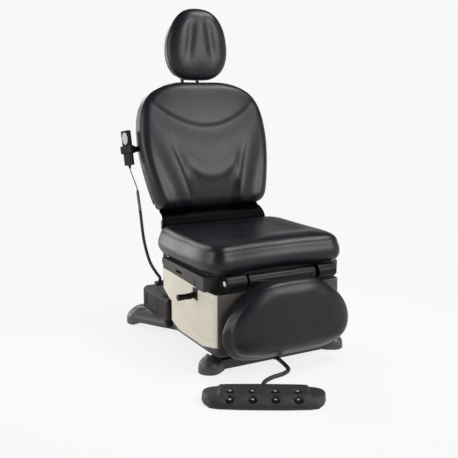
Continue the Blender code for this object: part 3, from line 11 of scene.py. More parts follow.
import bmesh
import bpy
from mathutils import Matrix, Vector
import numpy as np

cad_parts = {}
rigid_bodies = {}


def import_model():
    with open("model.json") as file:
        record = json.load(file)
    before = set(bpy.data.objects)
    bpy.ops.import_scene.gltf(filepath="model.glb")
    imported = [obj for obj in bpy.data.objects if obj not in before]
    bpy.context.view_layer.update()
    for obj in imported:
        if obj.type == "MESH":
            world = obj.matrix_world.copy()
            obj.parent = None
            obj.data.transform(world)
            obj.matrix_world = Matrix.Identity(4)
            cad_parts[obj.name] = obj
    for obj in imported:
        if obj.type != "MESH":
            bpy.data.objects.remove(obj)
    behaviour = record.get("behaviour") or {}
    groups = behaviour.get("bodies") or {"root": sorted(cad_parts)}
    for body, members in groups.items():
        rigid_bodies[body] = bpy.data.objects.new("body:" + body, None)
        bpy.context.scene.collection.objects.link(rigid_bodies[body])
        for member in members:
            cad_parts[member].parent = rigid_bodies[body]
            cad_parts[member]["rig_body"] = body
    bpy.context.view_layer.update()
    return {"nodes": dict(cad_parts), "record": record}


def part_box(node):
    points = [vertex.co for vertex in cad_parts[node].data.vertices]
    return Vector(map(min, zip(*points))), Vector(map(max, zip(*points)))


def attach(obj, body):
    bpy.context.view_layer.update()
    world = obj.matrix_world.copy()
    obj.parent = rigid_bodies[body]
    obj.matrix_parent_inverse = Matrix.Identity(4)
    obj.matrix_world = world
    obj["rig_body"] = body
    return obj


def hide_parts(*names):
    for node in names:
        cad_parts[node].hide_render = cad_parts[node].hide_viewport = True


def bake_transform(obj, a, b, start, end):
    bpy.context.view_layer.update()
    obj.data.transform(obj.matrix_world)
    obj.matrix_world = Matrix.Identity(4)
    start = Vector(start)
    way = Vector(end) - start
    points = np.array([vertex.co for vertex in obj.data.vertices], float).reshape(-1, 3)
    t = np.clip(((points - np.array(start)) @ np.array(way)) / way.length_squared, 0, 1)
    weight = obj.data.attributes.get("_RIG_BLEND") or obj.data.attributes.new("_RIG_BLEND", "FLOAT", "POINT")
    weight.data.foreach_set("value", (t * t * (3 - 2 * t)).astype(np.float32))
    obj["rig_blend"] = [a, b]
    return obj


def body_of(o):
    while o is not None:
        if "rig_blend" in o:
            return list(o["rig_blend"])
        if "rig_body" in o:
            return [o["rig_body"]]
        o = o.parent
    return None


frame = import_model()
NODES = frame["nodes"]
JOINTS = {joint["name"]: joint for joint in frame["record"]["behaviour"]["joints"]}

# %% [markdown]
# ## Shader arithmetic
# A material here is a few lines of maths on noise and distance. Wiring every Math node by hand hides that,
# so a small class wraps a socket and lets Python's operators add the nodes. Every other node comes from
# one method, which sets the node's own options first and its sockets after that.


# %% Sockets that take part in sums
class Wire:
    """A number that flows between shader nodes."""

    def __init__(self, finish, socket):
        self.finish = finish
        self.socket = socket

    def maths(self, operation, *others):
        values = dict(enumerate((self, *others)))
        return self.finish.add("ShaderNodeMath", {"operation": operation}, values)

    def __add__(self, other):
        return self.maths("ADD", other)

    def __sub__(self, other):
        return self.maths("SUBTRACT", other)

    def __rsub__(self, other):
        return self.maths("MULTIPLY", -1.0).maths("ADD", other)

    def __mul__(self, other):
        return self.maths("MULTIPLY", other)

    __radd__ = __add__
    __rmul__ = __mul__

    def between(self, low, high):
        """0 below low, 1 above high, smooth between them."""
        settings = {"interpolation_type": "SMOOTHSTEP"}
        return self.finish.add("ShaderNodeMapRange", settings, {0: self, 1: low, 2: high})


class Finish:
    """A node material under construction."""

    def __init__(self, name):
        self.material = bpy.data.materials.new(name)
        self.material.use_nodes = True
        self.tree = self.material.node_tree
        self.shader = self.tree.nodes["Principled BSDF"]

    def feed(self, node, sockets):
        for key, value in sockets.items():
            if isinstance(value, Wire):
                self.tree.links.new(value.socket, node.inputs[key])
            else:
                node.inputs[key].default_value = value

    def add(self, kind, settings=None, sockets=None, out=0):
        """One node: its type, its settings, then the values or links of its sockets."""
        node = self.tree.nodes.new(kind)
        for key, value in (settings or {}).items():
            setattr(node, key, value)
        self.feed(node, sockets or {})
        return Wire(self, node.outputs[out])

    def place(self):
        return self.add("ShaderNodeTexCoord", out="Object")

    def cloud(self, size, detail=2.0, stretch=None):
        """Noise whose patches are about this size."""
        where = self.place()
        if stretch:
            where = self.add("ShaderNodeMapping", None, {0: where, 3: stretch})
        return self.add("ShaderNodeTexNoise", None, {"Vector": where, "Scale": 1 / size, "Detail": detail})

    def cells(self, size):
        return self.add("ShaderNodeTexVoronoi", None, {"Vector": self.place(), "Scale": 1 / size})

    def mix(self, amount, first, second):
        """Colour that goes from the first to the second."""
        return self.add("ShaderNodeMix", {"data_type": "RGBA"},
                        {0: amount, 6: self.colour(first), 7: self.colour(second)}, 2)

    def colour(self, value):
        return value if isinstance(value, Wire) else (*value, 1)

    def bump(self, height, depth, strength=1.0, under=None):
        sockets = {"Strength": strength, "Distance": depth, "Height": height}
        if under:
            sockets["Normal"] = under
        return self.add("ShaderNodeBump", None, sockets)

    def done(self, **sockets):
        self.feed(self.shader, {key.replace("_", " "): value for key, value in sockets.items()})
        return self.material


print("shader helpers ready")

# %% [markdown]
# ## Vinyl
# The pads are covered in one piece of satin upholstery vinyl. Close up it has a pebbled grain of about a
# millimetre; from a step away only its sheen shows, a little patchy where the cover is stretched. Cells give
# the grain its valleys, and slow noise varies the gloss. A thin coat would double the highlight, so the
# gloss stays in the base layer.


# %% Vinyl
GRAIN = 0.0014


def vinyl(name, dark, light, gloss, shine):
    finish = Finish(name)
    patches = finish.cloud(0.09, 3.0).between(0.35, 0.7)
    cells = finish.cells(GRAIN).between(0.05, 0.75)
    fine = finish.cloud(GRAIN / 3)
    grain = (1 - cells) * 0.8 + fine * 0.35
    stretched = finish.bump(grain, 0.00022, 0.45)
    ripple = finish.bump(finish.cloud(0.03, 1.0), 0.0010, 0.12, stretched)
    return finish.done(Base_Color=finish.mix(patches * 0.6 + cells * 0.25, dark, light),
                       Roughness=gloss + patches * 0.05 - cells * 0.05, Specular_IOR_Level=shine,
                       Normal=ripple)


PAD_VINYL = vinyl("pad_vinyl", (0.0055, 0.0053, 0.0080), (0.0100, 0.0096, 0.0140), 0.36, 0.32)
# Painted shade: the hinge flap lies in the gap between seat and back, so its vinyl is coloured far darker
# than the pads.
SHADED_FLAP_VINYL = vinyl("flap_vinyl_painted_shade", (0.0012, 0.0011, 0.0014), (0.0022, 0.0021, 0.0025), 0.40, 0.02)
print("vinyl finishes made")

# %% [markdown]
# ## Moulded plastic, paint, rubber and metal
# Covers on such a chair are moulded with a fine spark-eroded texture, the feet are painted castings with a
# faint orange peel, and the bright pieces are zinc-plated or brushed. Each finish is a short function with
# its colour, so that two pieces of one material share one recipe.


# %% Hard finishes
def moulded(name, colour, gloss, grain=0.0009, depth=0.00008, fade=0.85, shine=0.5):
    """Textured plastic: fine spark grain, and a slow change of tone as from handling."""
    finish = Finish(name)
    tone = finish.cloud(0.12, 4.0).between(0.3, 0.75)
    speck = finish.cloud(grain, 1.0)
    worn = tuple(part * fade for part in colour)
    return finish.done(Base_Color=finish.mix(tone * 0.7 + speck * 0.3, colour, worn),
                       Roughness=gloss + tone * 0.08 + speck * 0.06, Specular_IOR_Level=shine,
                       Normal=finish.bump(speck, depth, 0.5))


def painted(name, colour, gloss):
    """Powder coat over a casting: orange peel, with a few dull scuffs."""
    finish = Finish(name)
    peel = finish.cloud(0.0028, 1.0)
    scuff = finish.cloud(0.035, 5.0).between(0.58, 0.68)
    dull = tuple(part * 1.35 for part in colour)
    return finish.done(Base_Color=finish.mix(scuff * 0.5, colour, dull), Roughness=gloss + scuff * 0.16,
                       Normal=finish.bump(peel, 0.00025, 0.35))


def brushed(name, colour, gloss, along):
    """Bright metal with fine lines along one axis."""
    finish = Finish(name)
    lines = finish.cloud(0.004, 3.0, tuple(0.02 if axis == along else 1.0 for axis in range(3)))
    tarnish = finish.cloud(0.02, 3.0).between(0.5, 0.75)
    dim = tuple(part * 0.7 for part in colour)
    return finish.done(Base_Color=finish.mix(tarnish * 0.5, colour, dim), Metallic=1.0,
                       Roughness=gloss + lines * 0.15, Normal=finish.bump(lines, 0.0001, 0.3))


BEIGE = moulded("shroud_beige", (0.57, 0.525, 0.435), 0.42, fade=0.94)
BEIGE_FIELD = moulded("shroud_field", (0.53, 0.488, 0.405), 0.42, fade=0.94)
# Painted shade: the front of the lift cover, in the recess behind the leg section, takes this dark brown
# instead of the beige.
RECESS_SHADE = moulded("shroud_front_painted_shade", (0.075, 0.066, 0.060), 0.50, shine=0.25)
TAUPE = moulded("trim_taupe", (0.034, 0.030, 0.028), 0.46, shine=0.3)
BLACK = moulded("plastic_black", (0.011, 0.0095, 0.0088), 0.46, shine=0.2)
LEVER_BLACK = moulded("lever_black", (0.007, 0.0055, 0.005), 0.45, shine=0.2)
PEDAL = moulded("pedal_charcoal", (0.024, 0.0235, 0.026), 0.48, 0.0016, 0.00016, shine=0.35)
CONNECTOR = moulded("connector_grey", (0.16, 0.16, 0.165), 0.45)
GLOSS_BLACK = moulded("plastic_gloss_black", (0.005, 0.0046, 0.0046), 0.30, 0.002, 0.00004, shine=0.16)
SHELL_GREY = moulded("shell_charcoal", (0.040, 0.039, 0.040), 0.44, 0.0014, 0.00014)
# Grey of the key membrane, and also the painted highlight on the foot buttons.
KEY_GREY_AND_GLINT = moulded("keypad_grey", (0.50, 0.51, 0.52), 0.45)
RED = moulded("rocker_red", (0.28, 0.012, 0.012), 0.28)
CAST = painted("cast_grey", (0.043, 0.0415, 0.043), 0.40)
STEEL = painted("steel_black", (0.016, 0.016, 0.0165), 0.42)
BRIGHT = brushed("steel_bright", (0.62, 0.62, 0.63), 0.24, 0)
RUBBER = moulded("rubber_black", (0.017, 0.017, 0.018), 0.55, 0.0012, 0.0001)
print("hard finishes made")

# %% [markdown]
# ## Camera
# The camera repeats the photograph's viewing angle: a little above the seat, to the sitter's right. Its
# place was worked out from pairs of points that mirror each other on the chair. The lens follows from the
# focal length in pixels and the width of the square picture.

# %% Camera
PICTURE = 458
FOCAL_PIXELS = 714.742
VIEW_TURN = radians(28.499)
VIEW_RISE = radians(10.96)
VIEW_DISTANCE = 2.631
LOOK_AT = Vector((-0.106, 0.0, 0.473))
SENSOR = 36.0

toward = Vector((-sin(VIEW_TURN) * cos(VIEW_RISE), -cos(VIEW_TURN) * cos(VIEW_RISE), sin(VIEW_RISE)))
camera = bpy.data.objects.new("camera", bpy.data.cameras.new("camera"))
camera.location = LOOK_AT + toward * VIEW_DISTANCE
camera.rotation_euler = toward.to_track_quat("Z", "Y").to_euler()
camera.data.sensor_width = SENSOR
camera.data.sensor_fit = "HORIZONTAL"
camera.data.lens = SENSOR * FOCAL_PIXELS / PICTURE
bpy.context.scene.collection.objects.link(camera)
bpy.context.scene.camera = camera
bpy.context.scene.view_settings.view_transform = "Standard"
print("camera at", [round(x, 3) for x in camera.location])

# %% [markdown]
# ## Floor and light
# The picture is a cut-out on a pale grey ground. A pale disc takes the contact shadow near the chair and
# turns into an even tone further out. The world is pale up to just above the horizon and dim above that,
# like a low cyclorama under a dark ceiling: the satin vinyl then keeps its deep tone instead of reflecting
# a white room. Five soft boxes do the rest: one to the left, one in front, one overhead and two behind.

# %% Floor, world and lamps
PALE = (0.939, 0.939, 0.939)
FLOOR_RADIUS = 12.0
FLOOR_DROP = 0.0005   # keeps the floor clear of the feet
SHADOW_REACH = 1.3    # the floor takes shadow within this distance
NEAR_GLOW = 0.86      # share of the even tone close to the chair, where the rest takes shadow


def seen_directly(finish):
    """1 for rays that show the ground itself or its mirror image, 0 for rays that only carry its light."""
    rays = {name: finish.add("ShaderNodeLightPath", out=name)
            for name in ("Is Camera Ray", "Is Glossy Ray", "Is Transmission Ray")}
    camera_ray, glossy, through_glass = rays.values()
    return camera_ray.maths("MAXIMUM", glossy).maths("MAXIMUM", through_glass)


def ground():
    finish = Finish("ground")
    far = finish.add("ShaderNodeVectorMath", {"operation": "LENGTH"}, {0: finish.place()}, "Value")
    glow = finish.add("ShaderNodeEmission", None, {"Color": (*PALE, 1), "Strength": 1.0})
    paint = finish.add("ShaderNodeBsdfDiffuse", None, {"Color": (*PALE, 1)})
    even = far.between(SHADOW_REACH * 0.4, SHADOW_REACH)
    share = seen_directly(finish) * (even * (1 - NEAR_GLOW) + NEAR_GLOW)
    surface = finish.add("ShaderNodeMixShader", None, {0: share, 1: paint, 2: glow})
    out = finish.tree.nodes["Material Output"]
    finish.tree.links.new(surface.socket, out.inputs["Surface"])
    finish.tree.nodes.remove(finish.shader)
    return finish.material


floor_mesh = bmesh.new()
bmesh.ops.create_circle(floor_mesh, cap_ends=True, segments=96, radius=FLOOR_RADIUS)
bmesh.ops.translate(floor_mesh, vec=(0, 0, -FLOOR_DROP), verts=floor_mesh.verts)
floor_data = bpy.data.meshes.new("floor")
floor_mesh.to_mesh(floor_data)
floor_mesh.free()
floor = bpy.data.objects.new("floor", floor_data)
floor_data.materials.append(ground())
bpy.context.scene.collection.objects.link(floor)

CEILING = (0.10, 0.10, 0.105)
PALE_UP_TO = 0.13     # sine of the elevation where the pale band ends
DIM_FROM = 0.18


class Sky(Finish):
    """The same node helper on the world's tree."""

    def __init__(self):
        world = bpy.data.worlds.new("studio")
        world.use_nodes = True
        bpy.context.scene.world = world
        self.material = world
        self.tree = world.node_tree
        self.shader = self.tree.nodes["Background"]


sky = Sky()
way = sky.add("ShaderNodeTexCoord", out="Generated")
rise = sky.add("ShaderNodeSeparateXYZ", None, {0: way}, "Z")
sky.done(Color=sky.mix(rise.between(PALE_UP_TO, DIM_FROM), PALE, CEILING), Strength=1.0)


def soft_box(name, place, aim, width, height, watts):
    lamp = bpy.data.lights.new(name, "AREA")
    lamp.shape = "RECTANGLE"
    lamp.size = width
    lamp.size_y = height
    lamp.energy = watts
    made = bpy.data.objects.new(name, lamp)
    made.location = place
    made.rotation_euler = (Vector(place) - Vector(aim)).to_track_quat("Z", "Y").to_euler()
    bpy.context.scene.collection.objects.link(made)


CHEST = (0, 0.1, 0.6)
soft_box("left_box", (-2.6, 0.4, 1.3), CHEST, 1.4, 2.0, 35)
soft_box("front_box", (1.4, -2.7, 1.9), CHEST, 1.8, 1.6, 76)
soft_box("top_box", (1.2, -0.5, 2.9), CHEST, 1.3, 1.0, 46)
soft_box("rear_box", (-0.3, 2.8, 2.2), CHEST, 2.2, 0.9, 55)
soft_box("rim_box", (-1.7, 2.7, 0.9), CHEST, 0.8, 1.8, 30)
print("stage set")

# %% [markdown]
# ## Cords
# A cord is a round tube along a smooth line that leaves its plug straight and bends with the slack it has.
# A curve with a round bevel gives that tube. It is turned into a mesh, since a mesh can bend with two bodies
# at once: the thin handset cord hangs between the handset and the back, the thick cable between the back and
# the seat. The foot control's cord lies on the floor.

# %% Cord helper
BACK_LEAN = radians(15)
HINGE = Vector((0, 0.363, 0.440))


def on_back(x, depth, up):
    """A point of the back's own frame: depth behind the hinge axis, up along the lean."""
    return Vector((x, HINGE.y + depth * cos(BACK_LEAN) + up * sin(BACK_LEAN),
                   HINGE.z - depth * sin(BACK_LEAN) + up * cos(BACK_LEAN)))


def new_object(name, mesh, *finishes):
    for finish in finishes:
        mesh.materials.append(finish)
    made = bpy.data.objects.new(name, mesh)
    bpy.context.scene.collection.objects.link(made)
    return made


CORD_LEAD = 1.2       # diameters that a cord runs straight out of what holds it


def smooth_line(start, start_way, route, end, end_way, diameter, steps=16):
    """Points of a cord: a straight lead at each end, and a smooth curve through the route between them."""
    lead = CORD_LEAD * diameter
    knots = [start, start + start_way * lead, *route, end - end_way * lead, end]
    slopes = [(knots[min(i + 1, len(knots) - 1)] - knots[max(i - 1, 0)]) / 2 for i in range(len(knots))]
    line = [start]
    for i in range(1, len(knots) - 2):
        for k in range(steps):
            t = k / steps
            line.append((2 * t**3 - 3 * t**2 + 1) * knots[i] + (t**3 - 2 * t**2 + t) * slopes[i]
                        + (3 * t**2 - 2 * t**3) * knots[i + 1] + (t**3 - t**2) * slopes[i + 1])
    return line + knots[-2:]


def tube(name, line, diameter, finish):
    """A closed round tube along a line of points."""
    curve = bpy.data.curves.new(name, "CURVE")
    curve.dimensions = "3D"
    curve.bevel_depth = diameter / 2
    curve.bevel_resolution = 5
    curve.use_fill_caps = True
    spline = curve.splines.new("POLY")
    spline.points.add(len(line) - 1)
    for point, place in zip(spline.points, line):
        point.co = (*place, 1)
    draft = bpy.data.objects.new(name + "_line", curve)
    bpy.context.scene.collection.objects.link(draft)
    mesh = bpy.data.meshes.new_from_object(draft.evaluated_get(bpy.context.evaluated_depsgraph_get()))
    bpy.data.objects.remove(draft)
    bm = bmesh.new()
    bm.from_mesh(mesh)
    bmesh.ops.remove_doubles(bm, verts=bm.verts, dist=1e-6)
    bmesh.ops.recalc_face_normals(bm, faces=bm.faces)
    bm.to_mesh(mesh)
    bm.free()
    mesh.name = name
    mesh.materials.clear()
    mesh.shade_smooth()
    return new_object(name, mesh, finish)


def length_of(line):
    return sum((b - a).length for a, b in zip(line, line[1:]))


print("cord helper ready")

# %% The three cords
PLUG_GAP = 0.0003      # between a cord's end and its plug
THIN_CORD = 0.0045
THICK_CABLE = 0.0125
FLOOR_CORD = 0.015
HANDSET_X = -0.324
HANDSET_DEPTH = 0.005  # behind the hinge axis, in the back's frame
HANDSET_FOOT = 0.2357

handset_exit = on_back(HANDSET_X, HANDSET_DEPTH, HANDSET_FOOT)
down_back = (on_back(0, 0, 0) - on_back(0, 0, 1)).normalized()
connector_top = Vector((-0.2885, 0.447, 0.577))
connector_low = Vector((-0.2795, 0.444, 0.490))
along_plug = (connector_low - connector_top).normalized()
gland_top = Vector((-0.24365, 0.334, 0.2133))
deck_plug = Vector((-0.018, -0.1893, 0.024))
pedal_way = Vector((-0.4924, -0.8704, 0)).normalized()
pedal_plug = Vector((-0.1855, -0.3809, 0.012))

thin_line = smooth_line(handset_exit, down_back, [Vector((-0.3075, 0.4425, 0.630))],
                        connector_top - along_plug * PLUG_GAP, along_plug, THIN_CORD)
thick_line = smooth_line(connector_low + along_plug * PLUG_GAP, along_plug,
                         [Vector((-0.2735, 0.424, 0.369)), Vector((-0.2665, 0.386, 0.290)),
                          Vector((-0.2540, 0.347, 0.247))],
                         gland_top, Vector((0, 0, -1)), THICK_CABLE)
floor_line = smooth_line(deck_plug, Vector((0, -1, 0)),
                         [Vector((-0.012, -0.245, 0.0125)), Vector((-0.020, -0.280, 0.0078)),
                          Vector((-0.055, -0.302, 0.0078)), Vector((-0.105, -0.311, 0.0078)),
                          Vector((-0.146, -0.330, 0.0078))],
                         pedal_plug, pedal_way, FLOOR_CORD)

handset_cord = tube("handset_cord_tube", thin_line, THIN_CORD, CONNECTOR)
handset_cable = tube("handset_cable_tube", thick_line, THICK_CABLE, RUBBER)
pedal_cord = tube("pedal_cord_tube", floor_line, FLOOR_CORD, RUBBER)
for piece, node, line in ((handset_cord, "handset_cord", thin_line),
                          (handset_cable, "handset_cable", thick_line),
                          (pedal_cord, "pedal_cord", floor_line)):
    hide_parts(node)
    print(piece.name, round(length_of(line), 3), "m")

# %% [markdown]
# ## Upholstery
# Each pad is foam on a board under one stretched vinyl cover: a broad face that rolls over into side walls
# and tucks in at the rear. A square grid is carried onto a disc and from there onto the pad's outline, so
# that no corner of the grid leaves a crease. Its open edge is extruded into the side walls. A short cloth
# simulation with air pressure fills the cover, with its rear edge pinned to the board, so that the walls
# belly out as stretched vinyl does. Channels and creases are pressed in afterwards, because the swell would
# smooth them.


# %% Curves and steps
def eased(points, t):
    """Smooth value at t on a curve through (position, value) pairs."""
    last = len(points) - 1
    i = 0
    while i < last - 1 and t > points[i + 1][0]:
        i += 1
    (t0, a), (t1, b) = points[i], points[i + 1]
    before = points[max(i - 1, 0)]
    after = points[min(i + 2, last)]
    slope_a = (b - before[1]) / (t1 - before[0])
    slope_b = (after[1] - a) / (after[0] - t0)
    s = min(max((t - t0) / (t1 - t0), 0), 1)
    span = t1 - t0
    return ((1 + 2 * s) * (1 - s) ** 2 * a + s * (1 - s) ** 2 * span * slope_a
            + s * s * (3 - 2 * s) * b - s * s * (1 - s) * span * slope_b)


def rolled(distance, radius):
    """Quarter-round rise from an edge: 0 at the edge, 1 a radius inside it."""
    inside = min(max(distance / radius, 0), 1)
    return sqrt(1 - (1 - inside) ** 2)


def valley(distance, width):
    return exp(-(distance / width) ** 2)


def step(value, low, high):
    """0 below low, 1 above high, smooth between."""
    s = min(max((value - low) / (high - low), 0), 1)
    return s * s * (3 - 2 * s)


print("valley 10 mm from its middle, 10 mm wide:", round(valley(0.01, 0.01), 2))

# %% [markdown]
# ### A pad's outline
# The outline is a closed loop seen from the front of the pad. It is drawn from its half widths, spaced
# evenly, and eased until the corners are round. The pad is then described by a direction from its middle: how
# far the edge is that way, and which way is outwards there.

# %% Outline
LOOP_POINTS = 360
ANGLE_STEP = 0.03      # radians to each side where the outline's direction is taken


class Outline:
    """A rounded closed loop, asked by the angle from its middle."""

    def __init__(self, corners, passes):
        loop = self.spaced([Vector(corner) for corner in corners])
        for _ in range(passes):
            loop = [(loop[i - 1] + loop[i] * 2 + loop[(i + 1) % LOOP_POINTS]) / 4 for i in range(LOOP_POINTS)]
        self.middle = sum(loop, Vector((0, 0))) / LOOP_POINTS
        spots = sorted((atan2(*(spot - self.middle).yx), (spot - self.middle).length) for spot in loop)
        self.radii = [(spots[-1][0] - 2 * pi, spots[-1][1]), *spots, (spots[0][0] + 2 * pi, spots[0][1])]

    def spaced(self, corners):
        """The same loop with points at even distances."""
        lengths = [(corners[i] - corners[i - 1]).length for i in range(len(corners))]
        stride = sum(lengths) / LOOP_POINTS
        loop = []
        walked = 0.0
        for i, length in enumerate(lengths):
            while len(loop) * stride < walked + length - 1e-9 and len(loop) < LOOP_POINTS:
                loop.append(corners[i - 1].lerp(corners[i], (len(loop) * stride - walked) / length))
            walked += length
        return loop

    def reach(self, angle):
        low, high = 0, len(self.radii) - 1
        while high - low > 1:
            centre = (low + high) // 2
            low, high = (centre, high) if self.radii[centre][0] <= angle else (low, centre)
        (a, near), (b, far) = self.radii[low], self.radii[high]
        return near + (far - near) * (angle - a) / max(b - a, 1e-9)

    def edge(self, angle):
        angle = atan2(sin(angle), cos(angle))
        return self.middle + Vector((cos(angle), sin(angle))) * self.reach(angle)

    def outwards(self, angle):
        along = self.edge(angle + ANGLE_STEP) - self.edge(angle - ANGLE_STEP)
        return Vector((along.y, -along.x)).normalized()


def mirrored(half):
    """A closed loop from its right half, listed from the lower end to the upper one."""
    return [*half, *((-x, up) for x, up in reversed(half))]


print("outline of", LOOP_POINTS, "points")

# %% [markdown]
# ### From grid to cover
# A vertex of the grid has a share of the way from the middle to the edge, and a direction. The face rises
# with a quarter round from the edge, so that it meets the side walls without a fold.


# %% Cover
def on_disc(x, y):
    """A point of the square from -1 to 1 as (share of the radius, angle) on a disc."""
    if abs(x) < 1e-9 and abs(y) < 1e-9:
        return 0.0, 0.0
    if abs(x) > abs(y):
        return abs(x), pi / 4 * y / x + (pi if x < 0 else 0)
    return abs(y), pi / 2 - pi / 4 * x / y + (pi if y < 0 else 0)


WALL_SHARES = (0.93, 0.84, 0.72, 0.60, 0.47, 0.34, 0.20, 0.08, 0.0)
EDGE_CROWDING = 1.45   # draws the rows of the grid towards the edge, where the face turns


def pad_cover(outline, segments, face, walls):
    """The cover before it is filled: x and y span the face, z is the depth from the board. The face gives the
    depth at a distance from the edge; the walls give how far they stand out at a share of their height."""
    bm = bmesh.new()
    bmesh.ops.create_grid(bm, x_segments=segments, y_segments=segments, size=1)
    angles = {}
    for vert in bm.verts:
        share, angle = on_disc(vert.co.x, vert.co.y)
        share = 1 - (1 - share) ** EDGE_CROWDING
        spot = outline.middle.lerp(outline.edge(angle), share)
        support = (outline.edge(angle) - outline.middle).dot(outline.outwards(angle))
        angles[vert] = angle
        vert.co = (*spot, face(spot.x, spot.y, (1 - share) * support))
    rim = [edge for edge in bm.edges if edge.is_boundary]
    heights = {vert: (vert.co.copy(), angles[vert]) for edge in rim for vert in edge.verts}
    for share in WALL_SHARES:
        above = {tuple(spot.co): start for spot, start in heights.items()}
        grown = bmesh.ops.extrude_edge_only(bm, edges=rim)["geom"]
        heights = {}
        for vert in [v for v in grown if isinstance(v, bmesh.types.BMVert)]:
            start, angle = above[tuple(vert.co)]
            way = outline.outwards(angle)
            out = way * walls(share, way)
            vert.co = (start.x + out.x, start.y + out.y, start.z * share)
            heights[vert] = (start, angle)
        rim = [e for e in grown if isinstance(e, bmesh.types.BMEdge) and e.is_boundary]
    bmesh.ops.edgeloop_fill(bm, edges=rim)
    bmesh.ops.recalc_face_normals(bm, faces=bm.faces)
    return bm


print("cover helper ready")

# %% [markdown]
# ### Filling the cover
# The pressure pushes every point outwards for twenty frames. A cap on the movement keeps the pad within its
# real size, and points near the board are held as staples would hold them. Firm foam lets no small wrinkle
# through, so the swell is evened out over neighbouring points. One subdivision afterwards gives the channels
# enough points to be soft.

# %% Fill and finish a pad
FILL_FRAMES = 20
PRESSURE = 4.0
PINNED_BELOW = 0.004   # depth from the board where the cover is stapled down
OVER_SIZE = 0.002      # the filling draws the edges in, so a cover is cut a little over size
SWELL_LIMIT = 0.005
FOAM_PASSES = 40
FACE_TURNS = (0.25, 0.75)   # channels fade out where the cover's normal turns away from the face
HALF_STEPS = 60        # points along half an outline


def spread_out(mesh, swell):
    """Even the swell over neighbouring points, as firm foam does, and leave the stapled points."""
    near = [[] for _ in swell]
    for edge in mesh.edges:
        first, last = edge.vertices
        near[first].append(last)
        near[last].append(first)
    free = [i for i, vert in enumerate(mesh.vertices) if vert.co.z >= PINNED_BELOW]
    for _ in range(FOAM_PASSES):
        even = {i: sum((swell[k] for k in near[i]), Vector()) / len(near[i]) for i in free}
        for i, moved in even.items():
            swell[i] = moved


def fill(piece):
    """Let air pressure swell the cover, and keep every point within a limit of where it was."""
    before = [vert.co.copy() for vert in piece.data.vertices]
    pins = piece.vertex_groups.new(name="pins")
    pins.add([i for i, place in enumerate(before) if place.z < PINNED_BELOW], 1.0, "REPLACE")
    cloth = piece.modifiers.new("fill", "CLOTH")
    cloth.settings.use_pressure = True
    cloth.settings.uniform_pressure_force = PRESSURE
    cloth.settings.vertex_group_mass = "pins"
    cloth.settings.effector_weights.gravity = 0
    scene = bpy.context.scene
    for number in range(1, FILL_FRAMES + 1):
        scene.frame_set(number)
    posed = piece.evaluated_get(bpy.context.evaluated_depsgraph_get())
    after = [vert.co.copy() for vert in posed.data.vertices]
    piece.modifiers.remove(cloth)
    piece.vertex_groups.remove(pins)
    scene.frame_set(1)
    swell = []
    for old, new in zip(before, after):
        moved = new - old
        swell.append(moved * (min(moved.length, SWELL_LIMIT) / max(moved.length, 1e-9)))
    spread_out(piece.data, swell)
    for vert, old, moved in zip(piece.data.vertices, before, swell):
        vert.co = old + moved


def reshape(mesh, change):
    """Run a change on a mesh's bmesh, then turn its faces outwards."""
    bm = bmesh.new()
    bm.from_mesh(mesh)
    change(bm)
    bmesh.ops.recalc_face_normals(bm, faces=bm.faces)
    bm.to_mesh(mesh)
    bm.free()


def open_rear(bm):
    bmesh.ops.delete(bm, geom=[face for face in bm.faces if len(face.verts) > 4], context="FACES_ONLY")


def even_out(bm):
    bmesh.ops.smooth_vert(bm, verts=[v for v in bm.verts if not v.is_boundary], factor=0.5,
                          use_axis_x=True, use_axis_y=True, use_axis_z=True)


def pad(name, node, body, cover, relief, place, thinned=lambda x, y: 0.0):
    """Fill a cover, refine it, press in its channels and put it in its place on the chair."""
    mesh = bpy.data.meshes.new(name)
    cover.to_mesh(mesh)
    cover.free()
    piece = new_object(name, mesh, PAD_VINYL)
    fill(piece)
    reshape(mesh, open_rear)
    reshape(mesh, even_out)
    finer = piece.modifiers.new("finer", "SUBSURF")
    finer.levels = finer.render_levels = 1
    smooth = bpy.data.meshes.new_from_object(piece.evaluated_get(bpy.context.evaluated_depsgraph_get()))
    piece.modifiers.remove(finer)
    piece.data = smooth
    bpy.data.meshes.remove(mesh)
    smooth.name = name
    facing = [step(vert.normal.z, *FACE_TURNS) for vert in smooth.vertices]
    pressed = []
    for vert, turned_up in zip(smooth.vertices, facing):
        x, y, depth = vert.co
        pressed.append(place(x, y, depth * (1 - thinned(x, y)) + relief(x, y) * turned_up))
    for vert, spot in zip(smooth.vertices, pressed):
        vert.co = spot
    reshape(smooth, lambda bm: bmesh.ops.edgeloop_fill(bm, edges=[e for e in bm.edges if e.is_boundary]))
    smooth.shade_smooth()
    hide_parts(node)
    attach(piece, body)
    print(name, len(smooth.polygons), "faces")


def halves(half_widths, low, high, largest=1.0):
    """Right half of an outline from (share of the height, half width) pairs."""
    steps = [i / HALF_STEPS for i in range(HALF_STEPS + 1)]
    return [(largest * eased(half_widths, v), low + (high - low) * v) for v in steps]


def crowned(wall, roll, roll_width, crown, crown_width):
    """A face that rolls up from the wall's height and crowns towards its middle."""
    return lambda x, y, edge: (wall + OVER_SIZE + roll * rolled(edge, roll_width)
                               + crown * rolled(edge, crown_width))


print("pad helpers ready")

# %% [markdown]
# ### Seat pad
# The seat is the widest pad: a rounded front whose middle scoops back to make room for the legs, walls that
# roll over broadly, and a top that dishes a little where the sitter's weight has set the foam.

# %% Seat pad
SEAT_HALF = 0.285 + OVER_SIZE
SEAT_FRONT = -0.205 - OVER_SIZE
SEAT_REAR = 0.304 + OVER_SIZE
SEAT_BOTTOM = 0.3546
SEAT_SCOOP = 0.028
SEAT_OUTLINE = [(0.0, 0.86), (0.06, 0.94), (0.2, 0.99), (0.4, 1.0), (0.75, 1.0), (0.93, 0.965), (1.0, 0.87)]
SEAT_WALL = [(0.0, -0.012), (0.3, 0.004), (0.72, 0.006), (1.0, 0.0)]
SEAT_DISH = 0.007      # depth of the dish, which fades out over these distances
DISH_SIDE = (0.13, 0.25)
DISH_FRONT = (-0.13, -0.02)
DISH_REAR = (0.20, 0.30)
EDGE_STEPS = 30


